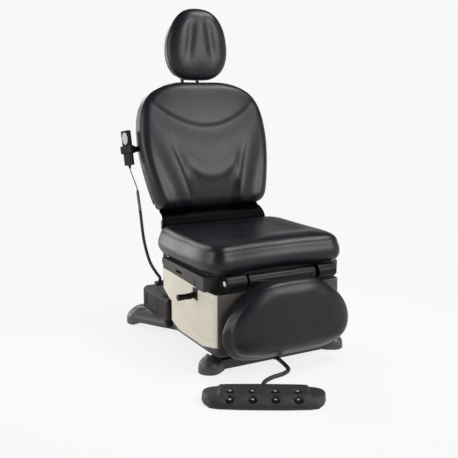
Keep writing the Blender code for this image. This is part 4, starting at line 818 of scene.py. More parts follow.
def scooped(x, y):
    """The straight front edge bowed back in its middle."""
    middle = max(1 - (x / SEAT_HALF) ** 2, 0) ** 2
    return x, y + SEAT_SCOOP * middle * (SEAT_REAR - y) / (SEAT_REAR - SEAT_FRONT)


def seat_relief(x, y):
    """A shallow dish behind the front roll, where the sitter's weight has set the foam."""
    across = 1 - step(abs(x), *DISH_SIDE)
    along = step(y, *DISH_FRONT) * (1 - step(y, *DISH_REAR))
    return -SEAT_DISH * across * along


def straight_edge(share, y):
    """Points from the middle towards one end of the seat's front or rear edge."""
    return [(SEAT_HALF * share * i / EDGE_STEPS, y) for i in range(EDGE_STEPS)]


front_edge = straight_edge(SEAT_OUTLINE[0][1], SEAT_FRONT)
rear_edge = straight_edge(SEAT_OUTLINE[-1][1], SEAT_REAR)[::-1]
seat_half = front_edge + halves(SEAT_OUTLINE, SEAT_FRONT, SEAT_REAR, SEAT_HALF) + rear_edge
seat_face = crowned(wall=0.062, roll=0.027, roll_width=0.040, crown=0.009, crown_width=0.16)
seat_edge = Outline([scooped(x, y) for x, y in mirrored(seat_half)], 40)
pad("seat_pad", "seat_cushion", "seat",
    pad_cover(seat_edge, 64, seat_face, lambda share, way: eased(SEAT_WALL, share)),
    seat_relief, lambda x, y, depth: (x, y, SEAT_BOTTOM + depth))

# %% [markdown]
# ### Back pad
# The back has a curved channel under the shoulders, like a smile, and a lumbar swell below it, with two faint
# creases above the swell. On each side a bolster runs down and inwards. Beside it lies a hollow, from which
# the vinyl rises slowly to a ridge and falls shortly to the middle panel, and the panel gets thinner towards
# the lower edge. All of it is soft foam, so every line is a smooth dip or rise of a few millimetres, worked
# out as a sum of such lines over the filled cover.

# %% Back pad
BACK_BOTTOM = 0.055 - OVER_SIZE
BACK_TOP = 0.576 + OVER_SIZE
BACK_REAR = -0.0063
BACK_OUTLINE = [(0.0, 0.222), (0.035, 0.248), (0.09, 0.259), (0.2, 0.273), (0.42, 0.291), (0.58, 0.294),
                (0.77, 0.279), (0.90, 0.239), (0.975, 0.167), (1.0, 0.100)]
BACK_WALL = [(0.0, -0.018), (0.3, -0.006), (0.7, 0.001), (1.0, 0.0)]
FOLD_LINE = [(0.0, 0.156), (0.06, 0.164), (0.12, 0.182), (0.263, 0.230), (0.353, 0.246)]
RIDGE_LINE = [(0.0, 0.102), (0.06, 0.112), (0.15, 0.134), (0.241, 0.160), (0.316, 0.190)]
FOLD_SINK = 0.0040     # depth of the hollow beside the bolster
FOLD_RISE = 0.0060     # from the hollow up to the bolster and to the ridge
FOLD_FALL = 0.0055     # from the ridge down to the middle panel
BOLSTER_WIDTH = 0.05
FALL_WIDTH = 0.026
FOLD_FROM = (0.02, 0.08)
FOLD_TO = (0.20, 0.40)
SMILE_MIDDLE = 0.372   # height of the channel on the middle line
SMILE_RISE = 0.098     # and how much higher it is at this distance to the side
SMILE_SIDE = 0.226
SMILE_DEPTH = 0.0070
SMILE_WIDTHS = (0.019, 0.055)        # above and below its line
SMILE_ENDS = (0.19, 0.27)
LUMBAR_MIDDLE = 0.192  # height of the crest on the middle line
LUMBAR_BOW = 4.4       # how fast it bends up to the sides
LUMBAR_HEIGHT = 0.0045
LUMBAR_WIDTH = 0.05
LUMBAR_ENDS = (0.095, 0.15)
CREASES = ((0.036, 0.0004), (0.056, 0.0003))   # distance over the lumbar line, height
CREASE_WIDTH = 0.008
CREASE_MIDDLE = 0.07
CREASE_ENDS = (0.015, 0.05)
THIN_RATE = 1.6        # share of the depth lost per metre below the lumbar line
THIN_LIMIT = 0.14
THIN_START = 0.045
THIN_ENDS = (0.075, 0.120)
LOWER_WAYS = (0.3, 0.8)


def smile_line(x):
    """Height of the channel under the shoulders."""
    return SMILE_MIDDLE + SMILE_RISE * (x / SMILE_SIDE) ** 2


def lumbar_line(x):
    """Height of the lumbar swell's crest."""
    return LUMBAR_MIDDLE + LUMBAR_BOW * x * x


def side_fold(side, up):
    """A bolster, a hollow beside it, a long rise to a ridge and a short fall to the middle panel."""
    outer, ridge = eased(FOLD_LINE, up), eased(RIDGE_LINE, up)
    if side > outer:
        return FOLD_RISE * step(side - outer, 0, BOLSTER_WIDTH) - FOLD_SINK
    if side > ridge:
        return FOLD_RISE * step(outer - side, 0, outer - ridge) - FOLD_SINK
    return FOLD_RISE - FOLD_SINK - FOLD_FALL * step(ridge - side, 0, FALL_WIDTH)


def back_relief(x, up):
    side = abs(x)
    over = up - smile_line(x)
    rise = -SMILE_DEPTH * valley(over, SMILE_WIDTHS[0 if over > 0 else 1]) * (1 - step(side, *SMILE_ENDS))
    rise += side_fold(side, up) * step(up, *FOLD_FROM) * (1 - step(up, *FOLD_TO))
    over = up - lumbar_line(x)
    rise += LUMBAR_HEIGHT * valley(over, LUMBAR_WIDTH) * (1 - step(side, *LUMBAR_ENDS))
    for bow, size in CREASES:
        length = 1 - step(abs(side - CREASE_MIDDLE), *CREASE_ENDS)
        rise += size * valley(over - bow + x * x, CREASE_WIDTH) * length
    return rise


def back_thinned(x, up):
    """Below the lumbar swell the middle panel gets thinner towards the lower edge."""
    below = min(max(lumbar_line(x) - up, 0), THIN_LIMIT)
    return THIN_RATE * below * step(below, 0, THIN_START) * (1 - step(abs(x), *THIN_ENDS))


def back_wall(share, way):
    """The sides and the top draw in towards the rear; the lower edge goes straight back."""
    return eased(BACK_WALL, share) * (1 - step(-way.y, *LOWER_WAYS))


back_face = crowned(wall=0.040, roll=0.028, roll_width=0.036, crown=0.006, crown_width=0.16)
back_edge = Outline(mirrored(halves(BACK_OUTLINE, BACK_BOTTOM, BACK_TOP)), 18)
pad("back_pad", "back_cushion", "back",
    pad_cover(back_edge, 80, back_face, back_wall),
    back_relief, lambda x, up, depth: on_back(x, BACK_REAR - depth, up), back_thinned)

# %% [markdown]
# ### Headrest pad
# The headrest is an egg with its narrow end up. Two sunk channels part towards the neck and leave a cushion
# between them, and the lower edge rolls under to clear the posts.

# %% Headrest pad
HEAD_LOW = 1.016 - OVER_SIZE
HEAD_HIGH = 1.302 + OVER_SIZE
HEAD_HALF = 0.136 + OVER_SIZE
HEAD_REAR = 0.512
HEAD_OUTLINE = [(0.0, 0.40), (0.05, 0.65), (0.16, 0.88), (0.35, 1.0), (0.55, 0.98), (0.75, 0.85),
                (0.90, 0.63), (0.97, 0.41), (0.995, 0.22), (1.0, 0.10)]
HEAD_WALL = [(0.0, -0.013), (0.3, -0.005), (0.65, 0.0), (1.0, 0.0)]
CHANNEL_LOW = 0.0686   # from the middle line at the pad's foot, and how much nearer at its top
CHANNEL_LEAN = 0.042
CHANNEL_DEPTH = 0.0066
CHANNEL_WIDTH = 0.021
CHANNEL_FROM = (0.16, 0.50)          # shares of the height where a channel begins and ends
CHANNEL_TO = (0.70, 0.95)


def head_relief(x, up):
    v = (up - HEAD_LOW) / (HEAD_HIGH - HEAD_LOW)
    along = step(v, *CHANNEL_FROM) * (1 - step(v, *CHANNEL_TO))
    channel = CHANNEL_LOW - CHANNEL_LEAN * v
    return -CHANNEL_DEPTH * along * valley(abs(x) - channel, CHANNEL_WIDTH)


head_face = crowned(wall=0.034, roll=0.028, roll_width=0.045, crown=0.006, crown_width=0.10)
head_edge = Outline(mirrored(halves(HEAD_OUTLINE, HEAD_LOW, HEAD_HIGH, HEAD_HALF)), 60)
pad("headrest_pad", "headrest_cushion", "headrest",
    pad_cover(head_edge, 56, head_face, lambda share, way: eased(HEAD_WALL, share)),
    head_relief, lambda x, up, depth: (x, HEAD_REAR - depth, up))

# %% [markdown]
# ### Leg pad
# The leg pad is broad and round below and narrows towards the hinge. Its face is plain: one smooth crown, so
# the light slides over it without a line. Its walls flare out towards the rear, except along the top.

# %% Leg pad
LEG_LOW = 0.073 - OVER_SIZE
LEG_HIGH = 0.329 + OVER_SIZE
LEG_HALF = 0.243 + OVER_SIZE
LEG_REAR = -0.2308
LEG_OUTLINE = [(0.0, 0.52), (0.04, 0.80), (0.12, 0.93), (0.25, 0.99), (0.40, 1.0), (0.60, 0.93), (0.76, 0.79),
               (0.90, 0.60), (0.97, 0.46), (1.0, 0.33)]
LEG_WALL = [(0.0, 0.014), (0.35, 0.020), (0.72, 0.010), (1.0, 0.0)]


def leg_wall(share, way):
    """Flares in full below and at the sides, and fades out towards the top."""
    return eased(LEG_WALL, share) * min(max(1 - 2 * way.y, 0), 1)


leg_face = crowned(wall=0.034, roll=0.022, roll_width=0.045, crown=0.006, crown_width=0.11)
leg_edge = Outline(mirrored(halves(LEG_OUTLINE, LEG_LOW, LEG_HIGH, LEG_HALF)), 50)
pad("leg_pad_cover", "leg_cushion", "leg_pad",
    pad_cover(leg_edge, 60, leg_face, leg_wall),
    lambda x, up: 0.0, lambda x, up, depth: (x, LEG_REAR - depth, up))

# %% [markdown]
# ## Covers, castings and frames
# The solids of the hard pieces have the right shape and only lack the small radii that moulds and paint leave
# on every edge. A copy of the solid gets them: doubles are merged, flat areas become single faces again, and
# the sharp outer edges are rounded. The faces keep even shading through weighted normals.

# %% Rounded copies of the hard pieces
FLAT = 0.01            # radians between two faces that count as one flat face
SHARP = radians(28)    # edges that turn more than this are rounded
CREASED = radians(40)  # edges that turn more than this are shaded sharp


def rest_body(node):
    return body_of(NODES[node])[0]


def copy_of(node):
    bm = bmesh.new()
    bm.from_mesh(NODES[node].data)
    bmesh.ops.remove_doubles(bm, verts=bm.verts, dist=2e-5)
    bmesh.ops.dissolve_limit(bm, angle_limit=FLAT, verts=bm.verts, edges=bm.edges)
    return bm


def soften(bm, width, segments=3):
    """Round the outer edges of a solid."""
    edges = [e for e in bm.edges if len(e.link_faces) == 2 and e.calc_face_angle_signed(0) > SHARP]
    bmesh.ops.bevel(bm, geom=edges, offset=width, offset_type="OFFSET", segments=segments, profile=0.5,
                    affect="EDGES", clamp_overlap=True, material=-1)
    bmesh.ops.remove_doubles(bm, verts=bm.verts, dist=1e-6)
    bmesh.ops.recalc_face_normals(bm, faces=bm.faces)


def hard_piece(name, bm, body, node, *finishes, slot=None):
    """Turn a bmesh into a piece that rides on a body and stands for a node."""
    mesh = bpy.data.meshes.new(name)
    bm.to_mesh(mesh)
    bm.free()
    mesh.shade_smooth()
    mesh.set_sharp_from_angle(angle=CREASED)
    piece = new_object(name, mesh, *finishes)
    piece.modifiers.new("even_shading", "WEIGHTED_NORMAL").keep_sharp = True
    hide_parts(node)
    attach(piece, body)
    return piece


def rounded(node, finish, width):
    bm = copy_of(node)
    soften(bm, width)
    hard_piece(node + "_rounded", bm, rest_body(node), node, finish)


SIDES = {"left": -1, "right": 1}     # and the sign of x there
ROUNDED = [("lower_shroud", TAUPE, 0.004), ("middle_shroud", TAUPE, 0.004), ("base_deck", CAST, 0.002),
           ("power_box_lid", BLACK, 0.007), ("power_inlet", BLACK, 0.0015), ("power_switch", RED, 0.0012),
           ("lever_plate", BLACK, 0.003), ("handset_holder", BLACK, 0.002), ("headrest_posts", STEEL, 0.0015),
           ("back_shell", SHELL_GREY, 0.006), ("headrest_shell", BLACK, 0.005), ("seat_frame", STEEL, 0.0015),
           ("leg_frame", GLOSS_BLACK, 0.002), ("base_frame", STEEL, 0.003), ("cable_gland", BLACK, 0.002),
           ("leg_strip", BRIGHT, 0.0015), ("pedal_plate", RUBBER, 0.002)]
for side in SIDES:
    ROUNDED.append((f"side_cover_{side}", TAUPE, 0.005))
    ROUNDED.append((f"hinge_cap_{side}", GLOSS_BLACK, 0.005))
for node, finish, width in ROUNDED:
    rounded(node, finish, width)
print("rounded pieces:", len(ROUNDED))

# %% [markdown]
# ## What stays as it is
# The remaining solids are plain turned or pressed parts that sit inside. They keep their mesh and get a
# finish: bright ground tubes for the lift, black paint for brackets, and sealed plywood boards behind the
# pads, whose edges are stained dark so that no wood shows between cover and trim.


# %% Finishes of the inner parts
def stained_board():
    finish = Finish("board_stained")
    grain = finish.cloud(0.02, 4.0, (0.15, 1.0, 4.0))
    return finish.done(Base_Color=finish.mix(grain, (0.010, 0.008, 0.007), (0.022, 0.018, 0.015)),
                       Roughness=0.55 + grain * 0.15, Normal=finish.bump(grain, 0.0002, 0.3))


BOARD = stained_board()
KEPT = {"column_inner": BRIGHT, "column_middle": BRIGHT, "column_outer": BRIGHT, "recline_shaft": CAST,
        "tilt_pin": BRIGHT, "lift_motor": STEEL, "carriage_plate": STEEL, "back_frame": STEEL,
        "seat_board": BOARD, "leg_board": BOARD}
for node, finish in KEPT.items():
    for material_slot in NODES[node].material_slots:
        material_slot.link = "OBJECT"
        material_slot.material = finish
print("kept nodes:", len(KEPT))

# %% [markdown]
# ## Foot covers
# Each leg of the base ends in a cast cover with a round nose and a soft shoulder: the rear ones are long and
# low, the front ones short and steep. The disc grid of the pads suits them too, seen from above, because a
# casting draws from its mould the same way: a rolled top, slightly flared walls, and a flat sole. The legs
# point away from the column, so each cover is shaped along its leg and turned into place.

# %% Foot covers
HUB = Vector((0, 0.02))
SOLE = 0.003
ARCH = 0.017           # how far the sole of a rear cover rises behind its foot
ARCH_SPAN = (0.005, 0.06)
EDGE_DROP = 0.007      # the small round along the upper edge
EDGE_WIDTH = 0.010
FALL_FROM = -0.02      # along the leg, where the top starts to fall towards the nose
FLARE = 0.0015         # how far the walls lean out at the sole
NOSE_STEPS = 20
REAR_FOOT = {"centre": (0.272, 0.497), "nose": 0.052, "length": 0.188, "half": 0.060, "top": 0.0763,
             "fall": 0.10, "slope": 0.034, "spread": 0.052, "arch": ARCH}
FRONT_FOOT = {"centre": (0.262, -0.148), "nose": 0.043, "length": 0.032, "half": 0.040, "top": 0.0643,
              "fall": 0.10, "slope": 0.026, "spread": 0.036, "arch": 0.0}


def foot_cover(node, foot, side):
    centre = Vector((foot["centre"][0] * side, foot["centre"][1]))
    along = (centre - HUB).normalized()
    across = Vector((along.y, -along.x))
    length, half, top, tip = foot["length"], foot["half"], foot["top"], foot["nose"]
    turns = [pi / 2 * i / NOSE_STEPS for i in range(NOSE_STEPS + 1)]
    nose = [(half * cos(turn), tip - half + half * sin(turn)) for turn in turns]
    outline = Outline(mirrored([(half * 0.5, -length), (half, -length), *nose]), 16)

    def sole(y):
        return SOLE + foot["arch"] * step(-y, *ARCH_SPAN)

    def top_at(x, y, edge):
        shoulder = foot["slope"] * (1 - step(edge, -foot["spread"], foot["spread"])) * 2
        corner = EDGE_DROP * (1 - rolled(edge, EDGE_WIDTH))
        return top - SOLE - foot["fall"] * max(y - FALL_FROM, 0) - shoulder - corner

    bm = pad_cover(outline, 28, top_at, lambda share, way: FLARE * (1 - share))
    for vert in bm.verts:
        spot = centre + across * vert.co.x + along * vert.co.y
        vert.co = (spot.x, spot.y, max(SOLE + vert.co.z, sole(vert.co.y)))
    bmesh.ops.recalc_face_normals(bm, faces=bm.faces)
    hard_piece(node + "_cast", bm, "base", node, CAST, slot="cast")


for side, sign in SIDES.items():
    foot_cover(f"foot_cover_rear_{side}", REAR_FOOT, sign)
    foot_cover(f"foot_cover_front_{side}", FRONT_FOOT, sign)
print("foot covers cast")

# %% [markdown]
# ## Lift cover
# The pale cover is a thin moulding around the lift. Each side has a raised field whose lower edge runs down
# from the rear to the front in a long S, and a shallow groove that falls from the lever. A cut through the
# wall could make it, but a low pillow of faces on the wall, under two millimetres proud, keeps the solid
# simple. The front lies in the recess behind the leg section; its faces carry painted shade, a dark brown in
# place of the beige.

# %% Lift cover
COVER_SIDE = 0.260
COVER_FRONT = -0.195
PROUD = 0.0017
SUNK = 0.0008          # the field's rim lies this deep in the wall
FIELD_EDGE = [(-0.175, 0.113), (-0.085, 0.105), (-0.009, 0.109), (0.048, 0.128), (0.116, 0.162),
              (0.185, 0.181)]
FIELD_TOP = 0.275
FIELD_ROUND = 0.006
FIELD_COLUMNS = 60
FIELD_ROWS = 28
GROOVE = (Vector((-0.001, 0.224)), Vector((-0.042, 0.190)))   # its ends, as (y, z)
GROOVE_DEPTH = 0.0016
GROOVE_WIDTH = 0.006
FRONT_BAND = 0.012     # faces this close to the front get the painted shade of the recess


def beside(spot, ends):
    """Distance of a point from a line between two points."""
    first, last = ends
    share = (spot - first).dot(last - first) / (last - first).length_squared
    return (spot - first.lerp(last, min(max(share, 0), 1))).length


def rim_of(bm, verts):
    """Boundary edges of one open sheet in a bmesh."""
    sheet = set(verts)
    return [edge for edge in bm.edges if edge.is_boundary and edge.verts[0] in sheet]


def raised_field(bm, side):
    """A grid laid on the wall: x of the grid runs from the front to the rear, and y upwards."""
    front, rear = FIELD_EDGE[0][0], FIELD_EDGE[-1][0]
    grid = bmesh.ops.create_grid(bm, x_segments=FIELD_COLUMNS, y_segments=FIELD_ROWS, size=0.5)["verts"]
    for vert in grid:
        y = front + (rear - front) * (vert.co.x + 0.5)
        low = eased(FIELD_EDGE, y)
        z = low + (FIELD_TOP - low) * (vert.co.y + 0.5)
        edge = min(y - front, rear - y, z - low, FIELD_TOP - z)
        out = (PROUD + SUNK) * rolled(edge, FIELD_ROUND) - SUNK
        out -= GROOVE_DEPTH * valley(beside(Vector((y, z)), GROOVE), GROOVE_WIDTH)
        vert.co = (side * (COVER_SIDE + out), y, z)
        for face in vert.link_faces:
            face.material_index = 2
    bmesh.ops.edgeloop_fill(bm, edges=rim_of(bm, grid))


cover = copy_of("upper_shroud")
soften(cover, 0.004)
# Painted shade: the front faces take the dark brown of the recess.
for face in cover.faces:
    if face.calc_center_median().y < COVER_FRONT + FRONT_BAND and face.normal.y < -0.6:
        face.material_index = 1
for sign in SIDES.values():
    raised_field(cover, sign)
bmesh.ops.recalc_face_normals(cover, faces=cover.faces)
hard_piece("lift_cover", cover, "carriage", "upper_shroud", BEIGE, RECESS_SHADE, BEIGE_FIELD, slot="shroud_beige")
print("lift cover shaped")

# %% [markdown]
# ## Power box
# The box behind the lift is a plain moulding with a service panel on its side, set back three millimetres,
# and a joint line next to it. Both are cut into a copy of the solid: planes slice the wall, and the faces
# between them are inset and pushed in.

# %% Power box
BOX_SIDE = 0.260
PANELS = [(0.352, 0.452, 0.088, 0.131), (0.338, 0.341, 0.082, 0.136)]   # y from, y to, z from, z to
PANEL_DEPTH = 0.003
PANEL_EDGE = 0.001


def set_back(bm, low_y, high_y, low_z, high_z):
    """Push a rectangle of both side walls inwards."""
    for spot, way in (((0, low_y, 0), (0, 1, 0)), ((0, high_y, 0), (0, 1, 0)),
                      ((0, 0, low_z), (0, 0, 1)), ((0, 0, high_z), (0, 0, 1))):
        bmesh.ops.bisect_plane(bm, geom=[*bm.verts, *bm.edges, *bm.faces], plane_co=spot, plane_no=way)
    faces = []
    for face in bm.faces:
        middle = face.calc_center_median()
        if (abs(face.normal.x) > 0.99 and abs(middle.x) > BOX_SIDE - 1e-4
                and low_y < middle.y < high_y and low_z < middle.z < high_z):
            faces.append(face)
    bmesh.ops.inset_region(bm, faces=faces, thickness=PANEL_EDGE, depth=-PANEL_DEPTH, use_even_offset=True)


box = copy_of("power_box")
soften(box, 0.006)
for panel in PANELS:
    set_back(box, *panel)
hard_piece("power_box_shell", box, "base", "power_box", BLACK, slot="plastic_black")
print("power box shaped")

# %% [markdown]
# ## Turned and ribbed pieces
# Screws, the lever's grip, the plug of the handset's cord and the foot buttons are all round about an axis. A
# profile of (distance along the axis, radius) pairs is spun once round, and the ends meet on the axis.


# %% Turned pieces
def turned(profile, start, way, sides=40):
    bm = bmesh.new()
    aside = way.orthogonal().normalized()
    verts = [bm.verts.new(start + way * along + aside * radius) for along, radius in profile]
    edges = [bm.edges.new(pair) for pair in zip(verts, verts[1:])]
    bmesh.ops.spin(bm, geom=[*verts, *edges], cent=start, axis=way, angle=2 * pi, steps=sides, use_merge=True)
    bmesh.ops.remove_doubles(bm, verts=bm.verts, dist=1e-6)
    bmesh.ops.recalc_face_normals(bm, faces=bm.faces)
    return bm


def arc(along, radius, size, first, last, count=6):
    """Points of a round corner of a profile, angles in degrees from the axis."""
    angles = [radians(first + (last - first) * i / count) for i in range(count + 1)]
    return [(along + size * cos(angle), radius + size * sin(angle)) for angle in angles]


LEVER_AXIS = Vector((-0.267, -0.033, 0.250))
grip = [(0.0, 0.0), (0.0, 0.0085), (0.011, 0.0085), (0.012, 0.0105), *arc(0.0155, 0.0095, 0.0025, 120, 60),
        (0.026, 0.0108), (0.040, 0.0104), (0.052, 0.0110), *arc(0.0625, 0.0095, 0.0025, 120, 0),
        (0.0640, 0.006), (0.0632, 0.0)]
lever = turned(grip, LEVER_AXIS, Vector((-1, 0, 0)))
hard_piece("lever_grip", lever, "lever", "release_lever", LEVER_BLACK)

SCREW_PLACE = (0.2263, -0.190, 0.325)
SCREW_RADIUS = 0.011
dome = [(0.0, 0.0), (0.0, SCREW_RADIUS), (0.0015, SCREW_RADIUS), (0.0035, 0.0095), (0.0049, 0.0070),
        (0.0055, 0.0040), (0.0052, 0.0034), (0.0030, 0.0030), (0.0030, 0.0)]
for side, sign in SIDES.items():
    x, y, z = SCREW_PLACE
    screw = turned(dome, Vector((sign * x, y, z)), Vector((sign, 0, 0)))
    hard_piece(f"hinge_screw_{side}_dome", screw, "seat", f"hinge_screw_{side}", BRIGHT)

RIBS = 9
RIB_START = 0.006
PLUG_HEAD = 0.016      # the smooth end below the ribs
RIB_RADIUS = 0.0065
NECK_RADIUS = 0.0052
plug_length = (connector_low - connector_top).length
pitch = (plug_length - RIB_START - PLUG_HEAD) / RIBS
plug = [(0.0, 0.0), (0.0, 0.0036), (0.004, 0.0045)]
for i in range(RIBS):
    rib = RIB_START + pitch * i
    plug += [(rib, NECK_RADIUS), (rib + pitch * 0.2, RIB_RADIUS), (rib + pitch * 0.6, RIB_RADIUS),
             (rib + pitch * 0.8, NECK_RADIUS)]
plug += [(plug_length - 0.014, 0.0056), (plug_length - 0.013, RIB_RADIUS), (plug_length - 0.002, RIB_RADIUS),
         (plug_length, 0.0058), (plug_length, 0.0)]
connector = hard_piece("ribbed_connector", turned(plug, connector_top, along_plug, 28), "back",
                       "cord_connector", CONNECTOR)
print("turned pieces made")

# %% [markdown]
# ## Foot buttons
# The foot control has eight round buttons in two rows. Each is a dark dome with a painted highlight in its
# middle: the faces close to the axis get a pale grey finish where the glint would fall. Its joint gives
# the way it is pressed, so the dome is turned about that axis.

# %% Foot buttons
BUTTONS = [f"pedal_button_{number}" for number in range(1, 9)]
BUTTON_RADIUS = 0.0085
BUTTON_HEIGHT = 0.0053
# Radius of the flat top of the dome, which takes the painted highlight.
GLINT_RADIUS = 0.0042
button = [(0.0, 0.0), (0.0, BUTTON_RADIUS), (BUTTON_HEIGHT - 0.0016, BUTTON_RADIUS),
          (BUTTON_HEIGHT - 0.0006, 0.0078), (BUTTON_HEIGHT - 0.0002, 0.0062), (BUTTON_HEIGHT, GLINT_RADIUS),
          (BUTTON_HEIGHT, 0.0)]


def middle_of(node):
    low, high = (Vector(corner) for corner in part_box(node))
    return (low + high) / 2


for number, node in enumerate(BUTTONS, 1):
    axis = Vector(JOINTS[f"press_{number}"]["axis"]).normalized()
    up = axis if axis.z > 0 else -axis
    middle = middle_of(node)
    bm = turned(button, middle - up * BUTTON_HEIGHT / 2, up, 32)
    # Painted highlight: faces of the flat top take the pale grey finish.
    for face in bm.faces:
        away = face.calc_center_median() - middle
        if away.dot(up) > 0 and (away - up * away.dot(up)).length < GLINT_RADIUS:
            face.material_index = 1
    hard_piece(f"foot_button_{number}", bm, f"button_{number}", node, BLACK, KEY_GREY_AND_GLINT)
print("foot buttons:", len(BUTTONS))

# %% [markdown]
# ## Foot control
# The housing of the foot control is a low moulding with round ends: a sloping lip and a shelf in front, and a
# raised strip along the rear for the second row of buttons. Each button stands in a round hollow with a level
# floor, which leaves room for its travel. The disc grid of the pads makes it in one piece, since every height
# is a sum of soft steps.

# %% Foot control
CONTROL_PLACE = Vector((-0.228, -0.456, 0.0103))
CONTROL_TURN = radians(-29.5)
CONTROL_SIDE = [(0.070, -0.0575), (0.143, -0.0530), (0.171, -0.0450), (0.189, -0.0180), (0.199, 0.0145),
                (0.193, 0.0360), (0.171, 0.0510), (0.119, 0.0560), (0.040, 0.0578)]
LIP_HEIGHT = 0.0163    # of the front edge over the floor
LIP_RISE = 0.0167
LIP_SPAN = (-0.058, -0.026)
SHELF_SLOPE = 0.02
STRIP_FRONT = -0.0245  # front edge of the raised strip along the rear
STRIP_HEIGHT = 0.036
STRIP_SLOPE = 0.074
STRIP_HALF = 0.146
STRIP_STEP = 0.0018    # half the depth of the step up to the strip
STRIP_END = 0.006
HOLLOW_RIM = 0.0150    # radius of the hollow around each button
HOLLOW_FLOOR = 0.0122  # radius of its level floor
HOLLOW_DEPTH = 0.0088  # from the button's middle down to the floor, with room for the travel
CONTROL_ROUND = 0.009  # width and drop of the round along the upper edge
CONTROL_DROP = 0.008
CONTROL_FLARE = 0.001

turned_back = Matrix.Rotation(-CONTROL_TURN, 3, "Z")
button_places = [turned_back @ (middle_of(node) - CONTROL_PLACE) for node in BUTTONS]


def control_face(x, y, edge):
    front, rear = LIP_SPAN
    shelf = LIP_HEIGHT + LIP_RISE * min((y - front) / (rear - front), 1) + SHELF_SLOPE * max(y - rear, 0)
    strip = STRIP_HEIGHT + STRIP_SLOPE * (y - STRIP_FRONT)
    raised = step(y, STRIP_FRONT - STRIP_STEP, STRIP_FRONT + STRIP_STEP)
    raised *= 1 - step(abs(x), STRIP_HALF - STRIP_END, STRIP_HALF)
    height = shelf + (strip - shelf) * raised - CONTROL_PLACE.z
    away, floor = min((hypot(x - place.x, y - place.y), place.z - HOLLOW_DEPTH) for place in button_places)
    height += (min(height, floor) - height) * (1 - step(away, HOLLOW_FLOOR, HOLLOW_RIM))
    return height - CONTROL_DROP * (1 - rolled(edge, CONTROL_ROUND))


control = pad_cover(Outline(mirrored(CONTROL_SIDE), 20), 96, control_face,
                    lambda share, way: CONTROL_FLARE * (1 - share))
control.transform(Matrix.Translation(CONTROL_PLACE) @ Matrix.Rotation(CONTROL_TURN, 4, "Z"))
bmesh.ops.recalc_face_normals(control, faces=control.faces)
hard_piece("foot_control", control, "base", "pedal_cover", PEDAL)
print("foot control made")

# %% [markdown]
# ## Handset
# The handset is a slim moulding with an oval membrane of keys on its outer face, framed by a dark ring. The
# keys are low domes in two columns, pressed into the same disc grid as the pads.

# %% Handset
KEY_MIDDLE = 0.356     # up the back from the hinge
HANDSET_TURN = radians(40)
KEY_FACE = -0.0123     # from the handset's middle line
KEY_FIELD = (0.0130, 0.0260)
MEMBRANE_SHARE = 0.96  # size of the membrane within the key field
OVAL_POINTS = 72
MEMBRANE = 0.00088     # its thickness at the edge
MEMBRANE_RISE = 0.0006
MEMBRANE_ROUND = 0.003
KEY_ROWS = (-0.0135, -0.0045, 0.0045, 0.0135)
KEY_COLUMN = 0.0052    # from the middle line
KEY_RADIUS = 0.0026
KEY_RISE = 0.0005


def keys(x, y, edge):
    bumps = sum(valley(hypot(abs(x) - KEY_COLUMN, y - row), KEY_RADIUS) for row in KEY_ROWS)
    return MEMBRANE + MEMBRANE_RISE * rolled(edge, MEMBRANE_ROUND) + KEY_RISE * bumps


def on_handset(x, y, depth):
    """The key field stands along the back's lean, and the handset is turned about its middle line."""
    out, across = KEY_FACE - depth, -x
    return on_back(HANDSET_X + out * cos(HANDSET_TURN) - across * sin(HANDSET_TURN),
                   HANDSET_DEPTH + out * sin(HANDSET_TURN) + across * cos(HANDSET_TURN), KEY_MIDDLE + y)


across, along = (half * MEMBRANE_SHARE for half in KEY_FIELD)
turns = [2 * pi * i / OVAL_POINTS for i in range(OVAL_POINTS)]
oval = Outline([(across * sin(turn), -along * cos(turn)) for turn in turns], 2)
membrane = pad_cover(oval, 32, keys, lambda share, way: 0.0)
for vert in membrane.verts:
    vert.co = on_handset(*vert.co)
bmesh.ops.recalc_face_normals(membrane, faces=membrane.faces)
hard_piece("handset_membrane", membrane, "handset", "handset_keypad", KEY_GREY_AND_GLINT, slot="keypad_grey")

RING_SHARE = 1.06      # size of the ring's middle line against the key field
RING_WIDTHS = (0.05, 0.025)          # shares of the line's place, across and along
RING_LIFT = 0.0006
RING_HEIGHT = 0.0011
RING_SIDES = 8
SECTION = 0.5          # radius of the ring's section while its middle line is a circle of radius 1


def key_ring(bm):
    """A plain ring spun round the middle, then drawn out to the oval of the key field."""
    solid = set(bm.verts)
    upright = Matrix.Translation((1, 0, 0)) @ Matrix.Rotation(pi / 2, 4, "X")
    section = bmesh.ops.create_circle(bm, segments=RING_SIDES, radius=SECTION, matrix=upright)["verts"]
    edges = [edge for edge in bm.edges if edge.is_wire]
    bmesh.ops.spin(bm, geom=[*section, *edges], cent=(0, 0, 0), axis=(0, 0, 1), angle=2 * pi,
                   steps=OVAL_POINTS, use_merge=True)
    across, along = (half * RING_SHARE for half in KEY_FIELD)
    for vert in [vert for vert in bm.verts if vert not in solid]:
        far = hypot(vert.co.x, vert.co.y)
        wide, tall = (1 + share * (far - 1) / SECTION for share in RING_WIDTHS)
        vert.co = on_handset(across * wide * vert.co.x / far, along * tall * vert.co.y / far,
                             RING_LIFT + RING_HEIGHT * vert.co.z / SECTION)


body = copy_of("handset_body")
soften(body, 0.006, 4)
key_ring(body)
bmesh.ops.recalc_face_normals(body, faces=body.faces)
hard_piece("handset_moulding", body, "handset", "handset_body", BLACK, slot="plastic_black")
print("handset made")
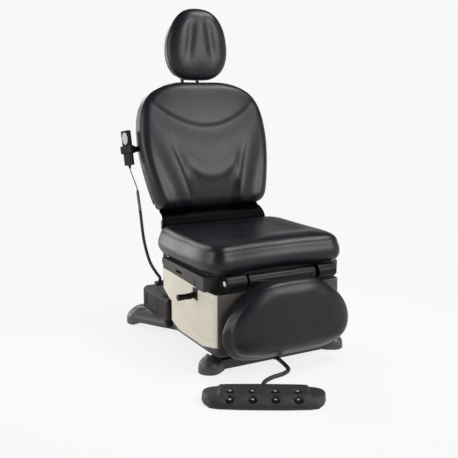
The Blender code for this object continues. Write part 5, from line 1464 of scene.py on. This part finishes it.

# %% [markdown]
# ## Hinge flap
# A sheet of duller vinyl closes the gap between seat and back; its colour carries painted shade, far darker
# than the pads. It is sewn to the back's lower edge, bows forward over the recline shaft and tucks down
# behind the seat, with a hem along its lower edge. The profile is swept across the chair and closed to a thin
# sheet.

# %% Hinge flap
FLAP_HALF = 0.240
FLAP_TAPER = 0.012     # narrower at the top
FLAP_RADIUS = 0.0505
FLAP_THICK = 0.002
FLAP_COLUMNS = 24
TAPER_SPAN = (-0.02, 0.06)
BOW_FROM = -38         # degrees on the round over the recline shaft
BOW_TO = 70
BOW_STEPS = 26
SEAM = ((-0.0145, 0.0530), (-0.0125, 0.0590), (-0.0118, 0.0640))   # (depth, up) under the pad
HEM_ROWS = 3
HEM_SHARE = 0.45       # how much thicker the hem is


def flap_profile():
    """(depth, up) points in the back's frame, from the hem to the seam under the pad."""
    bow = [radians(BOW_FROM + (BOW_TO - BOW_FROM) * i / BOW_STEPS) for i in range(BOW_STEPS + 1)]
    line = [Vector((-FLAP_RADIUS * cos(turn), FLAP_RADIUS * sin(turn))) for turn in bow]
    return line + [Vector(spot) for spot in SEAM]


line = flap_profile()
last = len(line) - 1
bm = bmesh.new()
rims = []
for lift in (-0.5, 0.5):
    skin = bmesh.ops.create_grid(bm, x_segments=FLAP_COLUMNS, y_segments=last, size=1)["verts"]
    for vert in skin:
        row = round((vert.co.y + 1) / 2 * last)
        along = (line[min(row + 1, last)] - line[max(row - 1, 0)]).normalized()
        thick = FLAP_THICK * (1 + HEM_SHARE if row < HEM_ROWS else 1)
        depth, up = line[row] + Vector((-along.y, along.x)) * thick * lift
        half = FLAP_HALF - FLAP_TAPER * step(up, *TAPER_SPAN)
        vert.co = on_back(half * vert.co.x, depth, up)
    rims += rim_of(bm, skin)
bmesh.ops.bridge_loops(bm, edges=rims)
bmesh.ops.recalc_face_normals(bm, faces=bm.faces)
flap = hard_piece("hinge_flap", bm, "back", "hinge_cover", SHADED_FLAP_VINYL, slot="vinyl")
length_of(line)
print("flap", round(length_of(line), 3), "m long")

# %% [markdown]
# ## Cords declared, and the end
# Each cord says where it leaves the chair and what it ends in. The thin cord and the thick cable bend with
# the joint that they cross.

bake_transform(handset_cord, "back", "handset", start=tuple(thin_line[-1]), end=tuple(thin_line[0]))
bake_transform(handset_cable, "seat", "back", start=tuple(thick_line[-1]), end=tuple(thick_line[0]))
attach(pedal_cord, "base")
tuple(thick_line[-1])
length_of(thick_line)
tuple(thin_line[-1])
length_of(thin_line)
tuple(floor_line[0])
length_of(floor_line)
